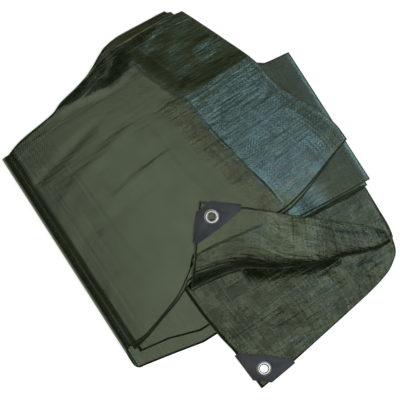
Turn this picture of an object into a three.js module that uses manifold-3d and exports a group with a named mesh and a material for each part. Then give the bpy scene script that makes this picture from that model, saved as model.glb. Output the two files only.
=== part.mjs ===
// Folded garden tarpaulin: one coated woven sheet, folded back and forth into a flat bundle.
// Two of its corners show, each with a plastic corner patch and a metal eyelet.
// Millimetres, +Z up. X runs across the folds, Y runs along them, Z = 0 is the table.
import * as THREE from 'three';
import { mergeVertices } from 'three/addons/utils/BufferGeometryUtils.js';
import Module from 'manifold-3d';

const wasm = await Module();
wasm.setup();

// Sheet and bundle
const CLOTH = 1.4;
const HALF_CLOTH = CLOTH / 2;
const PILE_HEIGHT = 33;
const TOP_LEVEL = 9;
const WRAP_DEPTH = 13;
const FIT_GAP = 0.3;

// Grid rows: the flap, its roll, the stretch below it, and the bundle itself
const FLAP_ROWS = 5;
const ROLL_ROWS = 5;
const LOWER_ROWS = 3;
const BUNDLE_ROWS = 12;
const EXTENSION_ROWS = FLAP_ROWS + ROLL_ROWS + LOWER_ROWS;
const FOLD_STEPS = 4;
const WRAP_STEPS = 8;

// Grid columns in each ply, and where the long crease crosses the cover
const APRON_COUNT = 16;
const FLAP_COUNT = 16;
const FLAP_REST_COUNT = 4;
const PLAIN_COUNT = 9;
const MIDDLE_COUNT = 12;
const BAND_COUNT = 7;
const PANEL_COUNT = 13;
const CREST_SHARE = 0.686;

// Eyelets, their corner patches and where they sit from the corner's tip
const EYELET_FLANGE_R = 11.25;
const EYELET_HOLE_R = 5.75;
const EYELET_NECK_R = 6.4;
const EYELET_INSET = 21;
const PATCH_LEG = 64;
const PATCH_TIP_CUT = 18;
const PATCH_PLATE = 0.7;
const PATCH_OVERHANG = 3;
const PATCH_WALL = 1.2;
const SLEEVE_FACE = HALF_CLOTH + FIT_GAP + PATCH_PLATE;
const WASHER = 0.7;
const HOLE_R = EYELET_NECK_R + 0.5;
const HOLE_DEPTH = 12;
const HOLE_SIDES = 32;
const EYELET_SIDES = 32;
const MERGE_DISTANCE = 1e-4;
const FLAT_CORNER = 96;
const LOWER_CORNER_Z = 4.2;
const UPPER_CORNER_Z = 38.4;
const APRON_LEVEL = 2;
const FLAP_PLY_LEVEL = 3;
const PLY_CLEARANCE = 3.2;
const CROWDED_SHARE = 0.22;

// The long crease between the flat panel and the band that slopes to the right
const RIDGE = [
  { y: -110, x: 99 },
  { y: -58, x: 95 },
  { y: -9, x: 85 },
  { y: 42, x: 75 },
  { y: 82, x: 67 },
  { y: 135, x: 60 },
  { y: 176, x: 42 },
  { y: 225, x: 25 },
  { y: 275, x: 12 },
];

// The short crease along the far end, where the cover turns down
const END_CREASE = [
  { x: -217, y: 240 },
  { x: -101, y: 231 },
  { x: -58, y: 234 },
  { x: -19, y: 217 },
  { x: 10, y: 220 },
  { x: 26, y: 228 },
  { x: 130, y: 262 },
  { x: 240, y: 262 },
];

// Far ends of the cover and of the plies under it
const COVER_FAR_END = [
  { x: -217, y: 212 },
  { x: -177, y: 224 },
  { x: -115, y: 231 },
  { x: -97, y: 238 },
  { x: -61, y: 245 },
  { x: -8, y: 259 },
  { x: 19, y: 262 },
  { x: 87, y: 260 },
  { x: 130, y: 254 },
];
const PLY_FAR_END = [
  { x: -205, y: 206 },
  { x: -177, y: 218 },
  { x: -115, y: 225 },
  { x: -61, y: 240 },
  { x: -8, y: 262 },
  { x: 5, y: 270 },
  { x: 32, y: 273 },
  { x: 101, y: 269 },
  { x: 118, y: 238 },
  { x: 150, y: 177 },
  { x: 183, y: 123 },
  { x: 231, y: 115 },
];

// Near ends, a table for each ply that shows there
const COVER_NEAR_END = [
  { x: -204, y: -128 },
  { x: -184, y: -128 },
  { x: -159, y: -122 },
  { x: -130, y: -113 },
  { x: -106, y: -104 },
  { x: -71, y: -82 },
  { x: -48, y: -64 },
  { x: 92, y: -80 },
  { x: 234, y: -43 },
];
const COVER_LINING_NEAR_END = [
  { x: -204, y: -124 },
  { x: -106, y: -96 },
  { x: -48, y: -62 },
  { x: 92, y: -85 },
  { x: 234, y: -47 },
];
const MIDDLE_NEAR_END = [
  { x: -204, y: -143 },
  { x: -192, y: -141 },
  { x: -150, y: -128 },
  { x: -96, y: -109 },
  { x: -82, y: -98 },
  { x: 0, y: -94 },
  { x: 118, y: -105 },
  { x: 232, y: -112 },
];
const INNER_NEAR_END = [
  { x: -204, y: -134 },
  { x: -150, y: -118 },
  { x: -96, y: -96 },
  { x: 0, y: -90 },
  { x: 118, y: -98 },
  { x: 232, y: -107 },
];
const JOINT_LINE = [
  { x: -204, y: -130 },
  { x: -150, y: -114 },
  { x: -85, y: -95 },
  { x: 0, y: -96 },
  { x: 118, y: -106 },
  { x: 220, y: -114 },
];
const FLOOR_NEAR_END = [
  { x: -210, y: -165 },
  { x: -158, y: -175 },
  { x: -88, y: -187 },
  { x: 0, y: -172 },
  { x: 100, y: -150 },
  { x: 224, y: -118 },
];
const FLOOR_LINING_NEAR_END = [
  { x: -200, y: -144 },
  { x: -158, y: -150 },
  { x: -90, y: -168 },
  { x: 0, y: -154 },
  { x: 100, y: -135 },
  { x: 224, y: -114 },
];

// The opened ply on the floor: its free side, its hem and its folded side
const APRON_SIDE = [
  { y: -290, x: -76 },
  { y: -222, x: -81 },
  { y: -188, x: -87 },
  { y: -113, x: -93 },
  { y: 240, x: -93 },
];
const APRON_HEM = [
  { x: -76, y: -290 },
  { x: -14, y: -282 },
  { x: 17, y: -277 },
  { x: 91, y: -265 },
  { x: 156, y: -253 },
  { x: 184, y: -244 },
  { x: 203, y: -231 },
];
const APRON_FOLD = [
  { y: -231, x: 203 },
  { y: -222, x: 209 },
  { y: -205, x: 214 },
  { y: -182, x: 218 },
  { y: -113, x: 219 },
  { y: 240, x: 221 },
];

// The turned-back flap, a row for each line of it from its cut side to its tip at the fold
const FLAP = [
  { x: -85, rollY: -107, hemX: -2, hemY: 0, hemZ: 38.4, crownZ: 38.4, reach: 52, tuck: 7 },
  { x: -27, rollY: -116, hemX: 39, hemY: -37, hemZ: 38.4, crownZ: 38.4, reach: 48, tuck: 9 },
  { x: 4, rollY: -126, hemX: 61, hemY: -56, hemZ: 38.4, crownZ: 37.5, reach: 46, tuck: 10 },
  { x: 46, rollY: -152, hemX: 91, hemY: -82, hemZ: 35, crownZ: 32, reach: 42, tuck: 10 },
  { x: 93, rollY: -171, hemX: 124, hemY: -111, hemZ: 25, crownZ: 24, reach: 34, tuck: 9 },
  { x: 139, rollY: -190, hemX: 156, hemY: -139, hemZ: 17, crownZ: 18, reach: 26, tuck: 8 },
  { x: 192, rollY: -208, hemX: 194, hemY: -174, hemZ: 13, crownZ: 13.5, reach: 14, tuck: 6 },
  { x: 211, rollY: -209, hemX: 211, hemY: -191, hemZ: 10, crownZ: 10.2, reach: 8, tuck: 4 },
];
const FLAP_CUT_X = -85;
const FLAP_TIP_X = 211;
const FLAP_CUT_SHARE = 0.28;
const ROLL_TURNS = [90, 60, 36, 14, -30, -90];
const ROLL_WAIST = 0.42;

// Folds seen from above, each shared by two plies, and the free sides
const COVER_FOLD = [
  { y: -43, x: 234 },
  { y: -23, x: 233 },
  { y: 90, x: 188 },
  { y: 123, x: 183 },
  { y: 190, x: 158 },
  { y: 218, x: 146 },
  { y: 241, x: 136 },
  { y: 254, x: 130 },
];
const FOLDS = {
  apronSide: { line: APRON_SIDE, near: -95, far: 232 },
  apron: { line: APRON_FOLD, near: -114, far: 108 },
  flapLeft: { line: [{ y: 0, x: -203 }], near: -130, far: 206 },
  innerRight: { line: [{ y: 0, x: 229 }], near: -107, far: 112 },
  innerLeft: { line: [{ y: 0, x: -203 }], near: -134, far: 207 },
  middleRight: { line: [{ y: 0, x: 231 }], near: -112, far: 115 },
  coverLeft: { line: [{ y: 0, x: -203 }], near: -136, far: 209 },
  coverRight: { line: COVER_FOLD, near: -43, far: 254 },
  wrapTop: { line: [{ y: 0, x: -204 }], near: -128, far: 212 },
  wrapFloor: { line: [{ y: -165, x: -207 }, { y: 212, x: -204 }], near: -165, far: 212 },
  floorRight: { line: [{ y: 0, x: 224 }], near: -118, far: 108 },
  floorSide: { line: [{ y: 0, x: -200 }], near: -144, far: 204 },
};

// Plies, with their level in the pile, their folds, their ends and how finely each is drawn
const PLIES = {
  apron: { level: 2, left: FOLDS.apronSide, right: FOLDS.apron, nearEnd: JOINT_LINE, farEnd: PLY_FAR_END },
  flap: { level: 3, left: FOLDS.flapLeft, right: FOLDS.apron, nearEnd: JOINT_LINE, farEnd: PLY_FAR_END },
  inner: {
    level: 4, left: FOLDS.flapLeft, right: FOLDS.innerRight, nearEnd: INNER_NEAR_END, farEnd: PLY_FAR_END,
  },
  innerUpper: {
    level: 5, left: FOLDS.innerLeft, right: FOLDS.innerRight, nearEnd: INNER_NEAR_END, farEnd: PLY_FAR_END,
  },
  middleLower: {
    level: 6, left: FOLDS.innerLeft, right: FOLDS.middleRight, nearEnd: INNER_NEAR_END, farEnd: PLY_FAR_END,
  },
  middle: {
    level: 7, left: FOLDS.coverLeft, right: FOLDS.middleRight, nearEnd: MIDDLE_NEAR_END, farEnd: PLY_FAR_END,
  },
  coverLining: {
    level: 8,
    left: FOLDS.coverLeft,
    right: FOLDS.coverRight,
    nearEnd: COVER_LINING_NEAR_END,
    farEnd: COVER_FAR_END,
  },
  cover: {
    level: 9, left: FOLDS.wrapTop, right: FOLDS.coverRight, nearEnd: COVER_NEAR_END, farEnd: COVER_FAR_END,
  },
  floor: {
    level: 0, left: FOLDS.wrapFloor, right: FOLDS.floorRight, nearEnd: FLOOR_NEAR_END, farEnd: PLY_FAR_END,
  },
  floorLining: {
    level: 1,
    left: FOLDS.floorSide,
    right: FOLDS.floorRight,
    nearEnd: FLOOR_LINING_NEAR_END,
    farEnd: PLY_FAR_END,
  },
};

// Soft bulges and hollows of the opened ply: centre, half-lengths, turn in degrees and height
const APRON_BULGES = [
  { x: 150, y: -226, long: 46, wide: 13, turn: 24, rise: 7 },
  { x: 62, y: -222, long: 40, wide: 14, turn: -30, rise: 6 },
  { x: 108, y: -236, long: 34, wide: 9, turn: 58, rise: -2.5 },
  { x: 8, y: -190, long: 44, wide: 15, turn: 12, rise: 4 },
];

function lerp(a, b, t) {
  return a + (b - a) * t;
}

function ease(t) {
  const c = Math.min(1, Math.max(0, t));
  return c * c * (3 - 2 * c);
}

// Straight-line reading of a table: the value of column `out` where column `key` is `at`
function read(table, key, out, at) {
  const last = table.length - 1;
  if (at <= table[0][key]) {
    return table[0][out];
  }
  for (let k = 1; k <= last; k += 1) {
    if (at <= table[k][key]) {
      const t = (at - table[k - 1][key]) / (table[k][key] - table[k - 1][key]);
      return lerp(table[k - 1][out], table[k][out], t);
    }
  }
  return table[last][out];
}

// Height of the cover's middle surface: highest at the long crease, lower at both ends
function coverHeight(x, y) {
  const side = x - read(RIDGE, 'y', 'x', y);
  const fall = side > 0 ? 9 * ease(side / 130) : 4 * ease(-side / 230);
  const nearGap = y - read(COVER_NEAR_END, 'x', 'y', x);
  const nearDroop = 5 * (1 - ease((nearGap + 10) / 65));
  const farGap = read(END_CREASE, 'x', 'y', x) - y;
  const farDroop = 6 * ease((8 - farGap) / 45);
  return PILE_HEIGHT - fall - nearDroop - farDroop;
}

function plyHeight(level, x, y) {
  return HALF_CLOTH + (coverHeight(x, y) - HALF_CLOTH) * (level / TOP_LEVEL);
}

// How far a point lies from a corner's tip, measured along the corner's two sides together
function cornerReach(x, y, corner) {
  const dx = x - corner.x;
  const dy = y - corner.y;
  const hem = dx * corner.hem.x + dy * corner.hem.y;
  const side = dx * corner.side.x + dy * corner.side.y;
  return Math.max(0, hem) + Math.max(0, side);
}

function direction(from, to) {
  return new THREE.Vector2(to.x - from.x, to.y - from.y).normalize();
}

// The two corners: tip, the ways along the hem and along the side edge, and the cloth's height
const LOWER_CORNER = {
  x: APRON_HEM[0].x,
  y: APRON_HEM[0].y,
  z: LOWER_CORNER_Z,
  hem: direction(APRON_HEM[0], APRON_HEM[1]),
  side: direction(APRON_SIDE[0], APRON_SIDE[1]),
};
const UPPER_CORNER = {
  x: FLAP[0].hemX,
  y: FLAP[0].hemY,
  z: UPPER_CORNER_Z,
  hem: direction({ x: FLAP[0].hemX, y: FLAP[0].hemY }, { x: FLAP[2].hemX, y: FLAP[2].hemY }),
  side: direction({ x: FLAP[0].hemX, y: FLAP[0].hemY }, { x: FLAP[0].x, y: FLAP[0].rollY }),
};

function bulge(row, x, y) {
  const turn = THREE.MathUtils.degToRad(row.turn);
  const dx = x - row.x;
  const dy = y - row.y;
  const along = (dx * Math.cos(turn) + dy * Math.sin(turn)) / row.long;
  const across = (dy * Math.cos(turn) - dx * Math.sin(turn)) / row.wide;
  return row.rise * Math.exp(-along * along - across * across);
}

// The opened ply leaves the bundle, sags to the table and rises a little at its corner patch
function apronHeight(x, y) {
  const inBundle = plyHeight(APRON_LEVEL, x, Math.max(y, read(JOINT_LINE, 'x', 'y', x)));
  const sag = ease((read(FLOOR_NEAR_END, 'x', 'y', x) - 5 - y) / 45);
  const outside = ease((read(FLAP, 'x', 'rollY', x) - 4 - y) / 22);
  const swell = APRON_BULGES.reduce((sum, row) => sum + bulge(row, x, y), 0);
  const open = lerp(inBundle, 2.2, sag) + swell * outside;
  const flat = 1 - ease((cornerReach(x, y, LOWER_CORNER) - FLAT_CORNER) / 40);
  return Math.max(HALF_CLOTH, lerp(open, LOWER_CORNER.z, flat));
}

// The ply over the opened one keeps clear of it as it runs out to the roll
function openedPlyHeight(x, y) {
  const joint = read(JOINT_LINE, 'x', 'y', x);
  return Math.max(apronHeight(x, y) + PLY_CLEARANCE, plyHeight(FLAP_PLY_LEVEL, x, Math.max(y, joint)));
}

// Point of a ply between its two folds: `across` runs left to right, `along` near to far
function plyPoint(ply, across, along) {
  const left = foldPoint(ply.left, along);
  const right = foldPoint(ply.right, along);
  const near = endShift(ply, ply.nearEnd, 0, across);
  const far = endShift(ply, ply.farEnd, 1, across);
  const x = lerp(left.x, right.x, across);
  const y = lerp(left.y, right.y, across) + near * (1 - along) + far * along;
  return new THREE.Vector3(x, y, plyHeight(ply.level, x, y));
}

function foldPoint(fold, along) {
  const y = lerp(fold.near, fold.far, along);
  return { x: read(fold.line, 'y', 'x', y), y };
}

// How far an end's own line stands from the straight line between its two fold ends
function endShift(ply, table, along, across) {
  const left = foldPoint(ply.left, along);
  const right = foldPoint(ply.right, along);
  const leftMiss = left.y - read(table, 'x', 'y', left.x);
  const rightMiss = right.y - read(table, 'x', 'y', right.x);
  const onLine = read(table, 'x', 'y', lerp(left.x, right.x, across));
  return onLine + lerp(leftMiss, rightMiss, across) - lerp(left.y, right.y, across);
}

// A column of the grid is one line of the cloth along Y: rows 0 to EXTENSION_ROWS are the
// opened-out part, the rest the bundle, and a row that the column lacks is left undefined
function bundleColumn(ply, across) {
  const column = [];
  for (let row = 0; row <= BUNDLE_ROWS; row += 1) {
    column[EXTENSION_ROWS + row] = plyPoint(ply, across, row / BUNDLE_ROWS);
  }
  return column;
}

const OPENED_APRON = {
  level: APRON_LEVEL,
  left: { line: APRON_SIDE, near: APRON_HEM[0].y, far: FOLDS.apronSide.near },
  right: { line: APRON_FOLD, near: APRON_FOLD[0].y, far: FOLDS.apron.near },
  nearEnd: APRON_HEM,
  farEnd: JOINT_LINE,
};

// Share of the way from the hem to the joint along the fold, where the rows crowd by the hem
function foldShare(row) {
  const rollEnd = FLAP_ROWS + ROLL_ROWS;
  return row <= rollEnd
    ? (CROWDED_SHARE * row) / rollEnd
    : lerp(CROWDED_SHARE, 1, (row - rollEnd) / LOWER_ROWS);
}

// The same share across the opened ply: even rows at its free side, the fold's rows at its fold
function apronShare(row, across) {
  return lerp(row / EXTENSION_ROWS, foldShare(row), ease((across - 0.55) / 0.45));
}

function apronPoint(across, share) {
  const point = plyPoint(OPENED_APRON, across, share);
  point.z = apronHeight(point.x, point.y);
  return point;
}

function apronColumn(across) {
  const column = bundleColumn(PLIES.apron, across);
  for (let row = 0; row < EXTENSION_ROWS; row += 1) {
    column[row] = apronPoint(across, apronShare(row, across));
  }
  return column;
}

// One line of the flap, from the hem over the roll and back under to the joint
function flapColumn(across) {
  const column = bundleColumn(PLIES.flap, across);
  const joint = column[EXTENSION_ROWS];
  const share = (across - FLAP_CUT_SHARE) / (1 - FLAP_CUT_SHARE);
  const line = flapLine(lerp(FLAP_CUT_X, FLAP_TIP_X, share));
  for (let row = 0; row < FLAP_ROWS; row += 1) {
    column[row] = new THREE.Vector3().lerpVectors(line.hem, line.crown, row / FLAP_ROWS);
  }
  for (let step = 0; step <= ROLL_ROWS; step += 1) {
    column[FLAP_ROWS + step] = rollPoint(line, THREE.MathUtils.degToRad(ROLL_TURNS[step]));
  }
  const underside = column[FLAP_ROWS + ROLL_ROWS];
  for (let step = 1; step < LOWER_ROWS; step += 1) {
    const t = step / LOWER_ROWS;
    const x = lerp(underside.x, joint.x, Math.sqrt(t));
    const y = lerp(underside.y, joint.y, t);
    column[FLAP_ROWS + ROLL_ROWS + step] = new THREE.Vector3(x, y, openedPlyHeight(x, y));
  }
  return column;
}

function flapLine(x) {
  const roll = new THREE.Vector2(x, read(FLAP, 'x', 'rollY', x));
  const hemX = read(FLAP, 'x', 'hemX', x);
  const hemY = read(FLAP, 'x', 'hemY', x);
  const outward = direction(roll, { x: hemX, y: hemY });
  const reach = read(FLAP, 'x', 'reach', x);
  const tuck = read(FLAP, 'x', 'tuck', x);
  const crownZ = read(FLAP, 'x', 'crownZ', x);
  const underZ = openedPlyHeight(x, roll.y + tuck);
  return {
    roll,
    outward,
    reach,
    tuck,
    underZ,
    waistZ: lerp(underZ, crownZ, ROLL_WAIST),
    hem: new THREE.Vector3(hemX, hemY, read(FLAP, 'x', 'hemZ', x)),
    crown: new THREE.Vector3(roll.x + outward.x * reach, roll.y + outward.y * reach, crownZ),
  };
}

// The roll is an oval: a long easy upper quarter and a short tucked lower one
function rollPoint(line, turn) {
  const { roll, outward, reach, tuck, underZ, waistZ, crown } = line;
  if (turn >= 0) {
    const out = reach * (1 - Math.cos(turn));
    const z = waistZ + (crown.z - waistZ) * Math.sin(turn);
    return new THREE.Vector3(roll.x + outward.x * out, roll.y + outward.y * out, z);
  }
  const under = tuck * (1 - Math.cos(turn));
  return new THREE.Vector3(roll.x, roll.y + under, waistZ + (waistZ - underZ) * Math.sin(turn));
}

// Columns that turn the cloth over from one ply to the next, bulging out at the fold.
// They stop short of the flap, whose tip lies loose on the fold's end.
function foldColumns(from, to, side) {
  const columns = [];
  for (let step = 1; step < FOLD_STEPS; step += 1) {
    const turn = (Math.PI * step) / FOLD_STEPS;
    const column = [];
    for (let row = FLAP_ROWS + ROLL_ROWS; row < from.length; row += 1) {
      if (from[row] && to[row]) {
        const radius = Math.abs(to[row].z - from[row].z) / 2;
        column[row] = new THREE.Vector3().lerpVectors(from[row], to[row], (1 - Math.cos(turn)) / 2);
        column[row].x += side * radius * Math.sin(turn);
      }
    }
    columns.push(column);
  }
  return columns;
}

// The cover wraps round all the left-hand folds and carries on under the bundle
function wrapColumns(from, to) {
  const columns = [];
  for (let step = 1; step < WRAP_STEPS; step += 1) {
    const turn = (Math.PI * step) / WRAP_STEPS;
    columns.push(from.map((point, row) => {
      const next = new THREE.Vector3().lerpVectors(point, to[row], (1 - Math.cos(turn)) / 2);
      next.x -= WRAP_DEPTH * Math.sin(turn);
      return next;
    }));
  }
  return columns;
}

// Even stations from one share of a ply's width to another
function stations(from, to, count) {
  return Array.from({ length: count + 1 }, (_, k) => lerp(from, to, k / count));
}

function plyColumns(ply, shares) {
  return shares.map((across) => bundleColumn(ply, across));
}

// The whole sheet, column after column, in the order in which the cloth runs
function clothColumns() {
  const opened = stations(0, 1, APRON_COUNT).map(apronColumn);
  const flap = stations(1, FLAP_CUT_SHARE, FLAP_COUNT).map(flapColumn);
  const flapRest = stations(FLAP_CUT_SHARE, 0, FLAP_REST_COUNT).slice(1);
  const turned = [...flap, ...plyColumns(PLIES.flap, flapRest)];
  const crest = [...stations(1, CREST_SHARE, BAND_COUNT), ...stations(CREST_SHARE, 0, PANEL_COUNT).slice(1)];
  const cover = plyColumns(PLIES.cover, crest);
  const floor = plyColumns(PLIES.floor, stations(0, 1, PLAIN_COUNT));
  const runs = [
    { columns: opened },
    { columns: turned, side: 1 },
    { columns: plyColumns(PLIES.inner, stations(0, 1, PLAIN_COUNT)), side: -1 },
    { columns: plyColumns(PLIES.innerUpper, stations(1, 0, PLAIN_COUNT)), side: 1 },
    { columns: plyColumns(PLIES.middleLower, stations(0, 1, PLAIN_COUNT)), side: -1 },
    { columns: plyColumns(PLIES.middle, stations(1, 0, MIDDLE_COUNT)), side: 1 },
    { columns: plyColumns(PLIES.coverLining, stations(0, 1, MIDDLE_COUNT)), side: -1 },
    { columns: cover, side: 1 },
    { columns: floor, wrap: true },
    { columns: plyColumns(PLIES.floorLining, stations(1, 0, PLAIN_COUNT)), side: 1 },
  ];
  const sheet = [];
  for (const run of runs) {
    if (sheet.length > 0) {
      const turn = run.wrap
        ? wrapColumns(sheet.at(-1), run.columns[0])
        : foldColumns(sheet.at(-1), run.columns[0], run.side);
      sheet.push(...turn);
    }
    sheet.push(...run.columns);
  }
  return sheet;
}

function surfaceNormal(sheet, i, j) {
  const here = sheet[i][j];
  const before = sheet[i - 1]?.[j] ?? here;
  const after = sheet[i + 1]?.[j] ?? here;
  const nearer = sheet[i][j - 1] ?? here;
  const farther = sheet[i][j + 1] ?? here;
  const run = new THREE.Vector3().subVectors(after, before);
  const rise = new THREE.Vector3().subVectors(farther, nearer);
  return run.cross(rise).normalize();
}

// A closed solid of even thickness on the grid: two faces, and a rim along every free edge
function thicken(sheet) {
  const positions = [];
  const index = new Map();
  sheet.forEach((column, i) => {
    column.forEach((point, j) => {
      const offset = surfaceNormal(sheet, i, j).multiplyScalar(HALF_CLOTH);
      index.set(`${i},${j}`, positions.length / 3);
      positions.push(...new THREE.Vector3().addVectors(point, offset).toArray());
      positions.push(...new THREE.Vector3().subVectors(point, offset).toArray());
    });
  });
  const at = (i, j) => index.get(`${i},${j}`);
  const cell = (i, j) => [at(i, j), at(i + 1, j), at(i + 1, j + 1), at(i, j + 1)];
  const isCell = (i, j) => cell(i, j).every((corner) => corner !== undefined);
  const faces = [];
  sheet.forEach((column, i) => {
    column.forEach((point, j) => {
      if (!isCell(i, j)) {
        return;
      }
      const [a, b, c, d] = cell(i, j);
      faces.push(a, b, c, a, c, d);
      faces.push(a + 1, c + 1, b + 1, a + 1, d + 1, c + 1);
      const rims = [
        { free: !isCell(i, j - 1), from: a, to: b },
        { free: !isCell(i + 1, j), from: b, to: c },
        { free: !isCell(i, j + 1), from: c, to: d },
        { free: !isCell(i - 1, j), from: d, to: a },
      ];
      for (const rim of rims.filter((side) => side.free)) {
        faces.push(rim.from, rim.from + 1, rim.to + 1, rim.from, rim.to + 1, rim.to);
      }
    });
  });
  const geometry = new THREE.BufferGeometry();
  geometry.setAttribute('position', new THREE.Float32BufferAttribute(positions, 3));
  geometry.setIndex(faces);
  return geometry;
}

function toSolid(geometry) {
  const bare = geometry.clone();
  bare.deleteAttribute('normal');
  bare.deleteAttribute('uv');
  const merged = mergeVertices(bare, MERGE_DISTANCE);
  const mesh = new wasm.Mesh({
    numProp: 3,
    vertProperties: Float32Array.from(merged.getAttribute('position').array),
    triVerts: Uint32Array.from(merged.getIndex().array),
  });
  return new wasm.Manifold(mesh);
}

function toGeometry(solid) {
  const mesh = solid.getMesh();
  const geometry = new THREE.BufferGeometry();
  geometry.setAttribute('position', new THREE.Float32BufferAttribute(mesh.vertProperties, 3));
  geometry.setIndex(new THREE.Uint32BufferAttribute(mesh.triVerts, 1));
  return geometry;
}

function cornerPoint(corner, alongHem, alongSide) {
  return new THREE.Vector2(
    corner.x + corner.hem.x * alongHem + corner.side.x * alongSide,
    corner.y + corner.hem.y * alongHem + corner.side.y * alongSide,
  );
}

// Upright round drill through a corner, wide enough for the eyelet's neck
function holeDrill(corner) {
  const centre = cornerPoint(corner, EYELET_INSET, EYELET_INSET);
  const drill = new THREE.CylinderGeometry(HOLE_R, HOLE_R, HOLE_DEPTH, HOLE_SIDES);
  drill.rotateX(Math.PI / 2);
  drill.translate(centre.x, centre.y, corner.z);
  return toSolid(drill);
}

function tarpGeometry() {
  const cloth = toSolid(thicken(clothColumns()));
  return toGeometry(cloth.subtract(holeDrill(LOWER_CORNER)).subtract(holeDrill(UPPER_CORNER)));
}

// A level plate with the outline given in lengths along the corner's hem and side edge
function cornerPlate(corner, outline, low, high) {
  const shape = new THREE.Shape(outline.map(([hem, side]) => cornerPoint(corner, hem, side)));
  const plate = new THREE.ExtrudeGeometry(shape, { depth: high - low, bevelEnabled: false });
  plate.translate(0, 0, corner.z + low);
  return toSolid(plate);
}

// The moulded patch is a flat sleeve slipped over the corner, its tip cut away
function patchGeometry(corner) {
  const edge = -PATCH_OVERHANG;
  const short = PATCH_OVERHANG + 1;
  const inside = edge + PATCH_WALL;
  const beyond = PATCH_LEG * 2;
  const faceZ = HALF_CLOTH + FIT_GAP;
  const outline = [
    [PATCH_TIP_CUT, edge],
    [PATCH_LEG, edge],
    [PATCH_LEG, short],
    [short, PATCH_LEG],
    [edge, PATCH_LEG],
    [edge, PATCH_TIP_CUT],
  ];
  const pocket = [
    [inside, inside],
    [beyond, inside],
    [beyond, beyond],
    [inside, beyond],
  ];
  const body = cornerPlate(corner, outline, -faceZ - PATCH_PLATE, faceZ + PATCH_PLATE);
  const hollow = cornerPlate(corner, pocket, -faceZ, faceZ);
  return toGeometry(body.subtract(hollow).subtract(holeDrill(corner)));
}

// A turned ring about an upright line through the eyelet's place in a corner
function turned(corner, profile) {
  const centre = cornerPoint(corner, EYELET_INSET, EYELET_INSET);
  const ring = new THREE.LatheGeometry(profile.map(([r, z]) => new THREE.Vector2(r, z)), EYELET_SIDES);
  ring.rotateX(Math.PI / 2);
  ring.translate(centre.x, centre.y, corner.z);
  return toGeometry(toSolid(ring));
}

// Domed flange above, neck through the cloth, and the neck's end curled out below the washer
function eyeletProfile() {
  const under = SLEEVE_FACE + FIT_GAP;
  const curlTop = -under - WASHER - FIT_GAP;
  return [
    [EYELET_HOLE_R, under],
    [EYELET_HOLE_R, curlTop - 0.4],
    [EYELET_NECK_R - 0.3, curlTop - 0.8],
    [EYELET_NECK_R + 1.6, curlTop - 0.8],
    [EYELET_NECK_R + 2.2, curlTop - 0.4],
    [EYELET_NECK_R + 2, curlTop],
    [EYELET_NECK_R, curlTop],
    [EYELET_NECK_R, under],
    [EYELET_FLANGE_R - 0.2, under],
    [EYELET_FLANGE_R, under + 0.3],
    [EYELET_FLANGE_R - 1.4, under + 1.1],
    [EYELET_HOLE_R + 2.2, under + 1.5],
    [EYELET_HOLE_R + 0.6, under + 1],
    [EYELET_HOLE_R, under],
  ];
}

function washerProfile() {
  const top = -SLEEVE_FACE - FIT_GAP;
  return [
    [EYELET_NECK_R + FIT_GAP, top],
    [EYELET_NECK_R + FIT_GAP, top - WASHER],
    [EYELET_FLANGE_R - 0.8, top - WASHER],
    [EYELET_FLANGE_R - 0.8, top],
    [EYELET_NECK_R + FIT_GAP, top],
  ];
}

const tarpMaterial = new THREE.MeshStandardMaterial({ color: 0x424f3a, roughness: 0.42, metalness: 0 });
const patchMaterial = new THREE.MeshStandardMaterial({ color: 0x3b3e42, roughness: 0.5, metalness: 0 });
const metalMaterial = new THREE.MeshStandardMaterial({ color: 0xd8d5d2, roughness: 0.3, metalness: 0.9 });

function namedMesh(name, geometry, material) {
  const mesh = new THREE.Mesh(geometry, material);
  mesh.name = name;
  return mesh;
}

// Moves the whole object so that Z passes through the middle of its outline, as seen from above
function centred(meshes) {
  const box = new THREE.Box3();
  for (const mesh of meshes) {
    mesh.geometry.computeBoundingBox();
    box.union(mesh.geometry.boundingBox);
  }
  const middle = box.getCenter(new THREE.Vector3());
  for (const mesh of meshes) {
    mesh.geometry.translate(-middle.x, -middle.y, -box.min.z);
  }
}

const meshes = [namedMesh('tarp', tarpGeometry(), tarpMaterial)];
for (const [place, corner] of Object.entries({ lower: LOWER_CORNER, upper: UPPER_CORNER })) {
  meshes.push(namedMesh(`corner_patch_${place}`, patchGeometry(corner), patchMaterial));
  meshes.push(namedMesh(`eyelet_${place}`, turned(corner, eyeletProfile()), metalMaterial));
  meshes.push(namedMesh(`eyelet_washer_${place}`, turned(corner, washerProfile()), metalMaterial));
}
centred(meshes);

const group = new THREE.Group();
group.add(...meshes);
export default group;
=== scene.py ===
# %% [markdown]
# # A folded tarpaulin
#
# The object is a dark green tarpaulin: plastic tapes woven into cloth and coated on both faces. It is
# folded back and forth into a flat bundle. Two of its corners are fanned out, one lying open on the
# table and one turned back over the bundle, each with a plastic corner patch and a metal eyelet.
#
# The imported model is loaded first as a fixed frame. It gives the object's size, and every piece made
# below sits where the frame says, in metres.

# %% Load the frame
import functools
import math
import random

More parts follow.
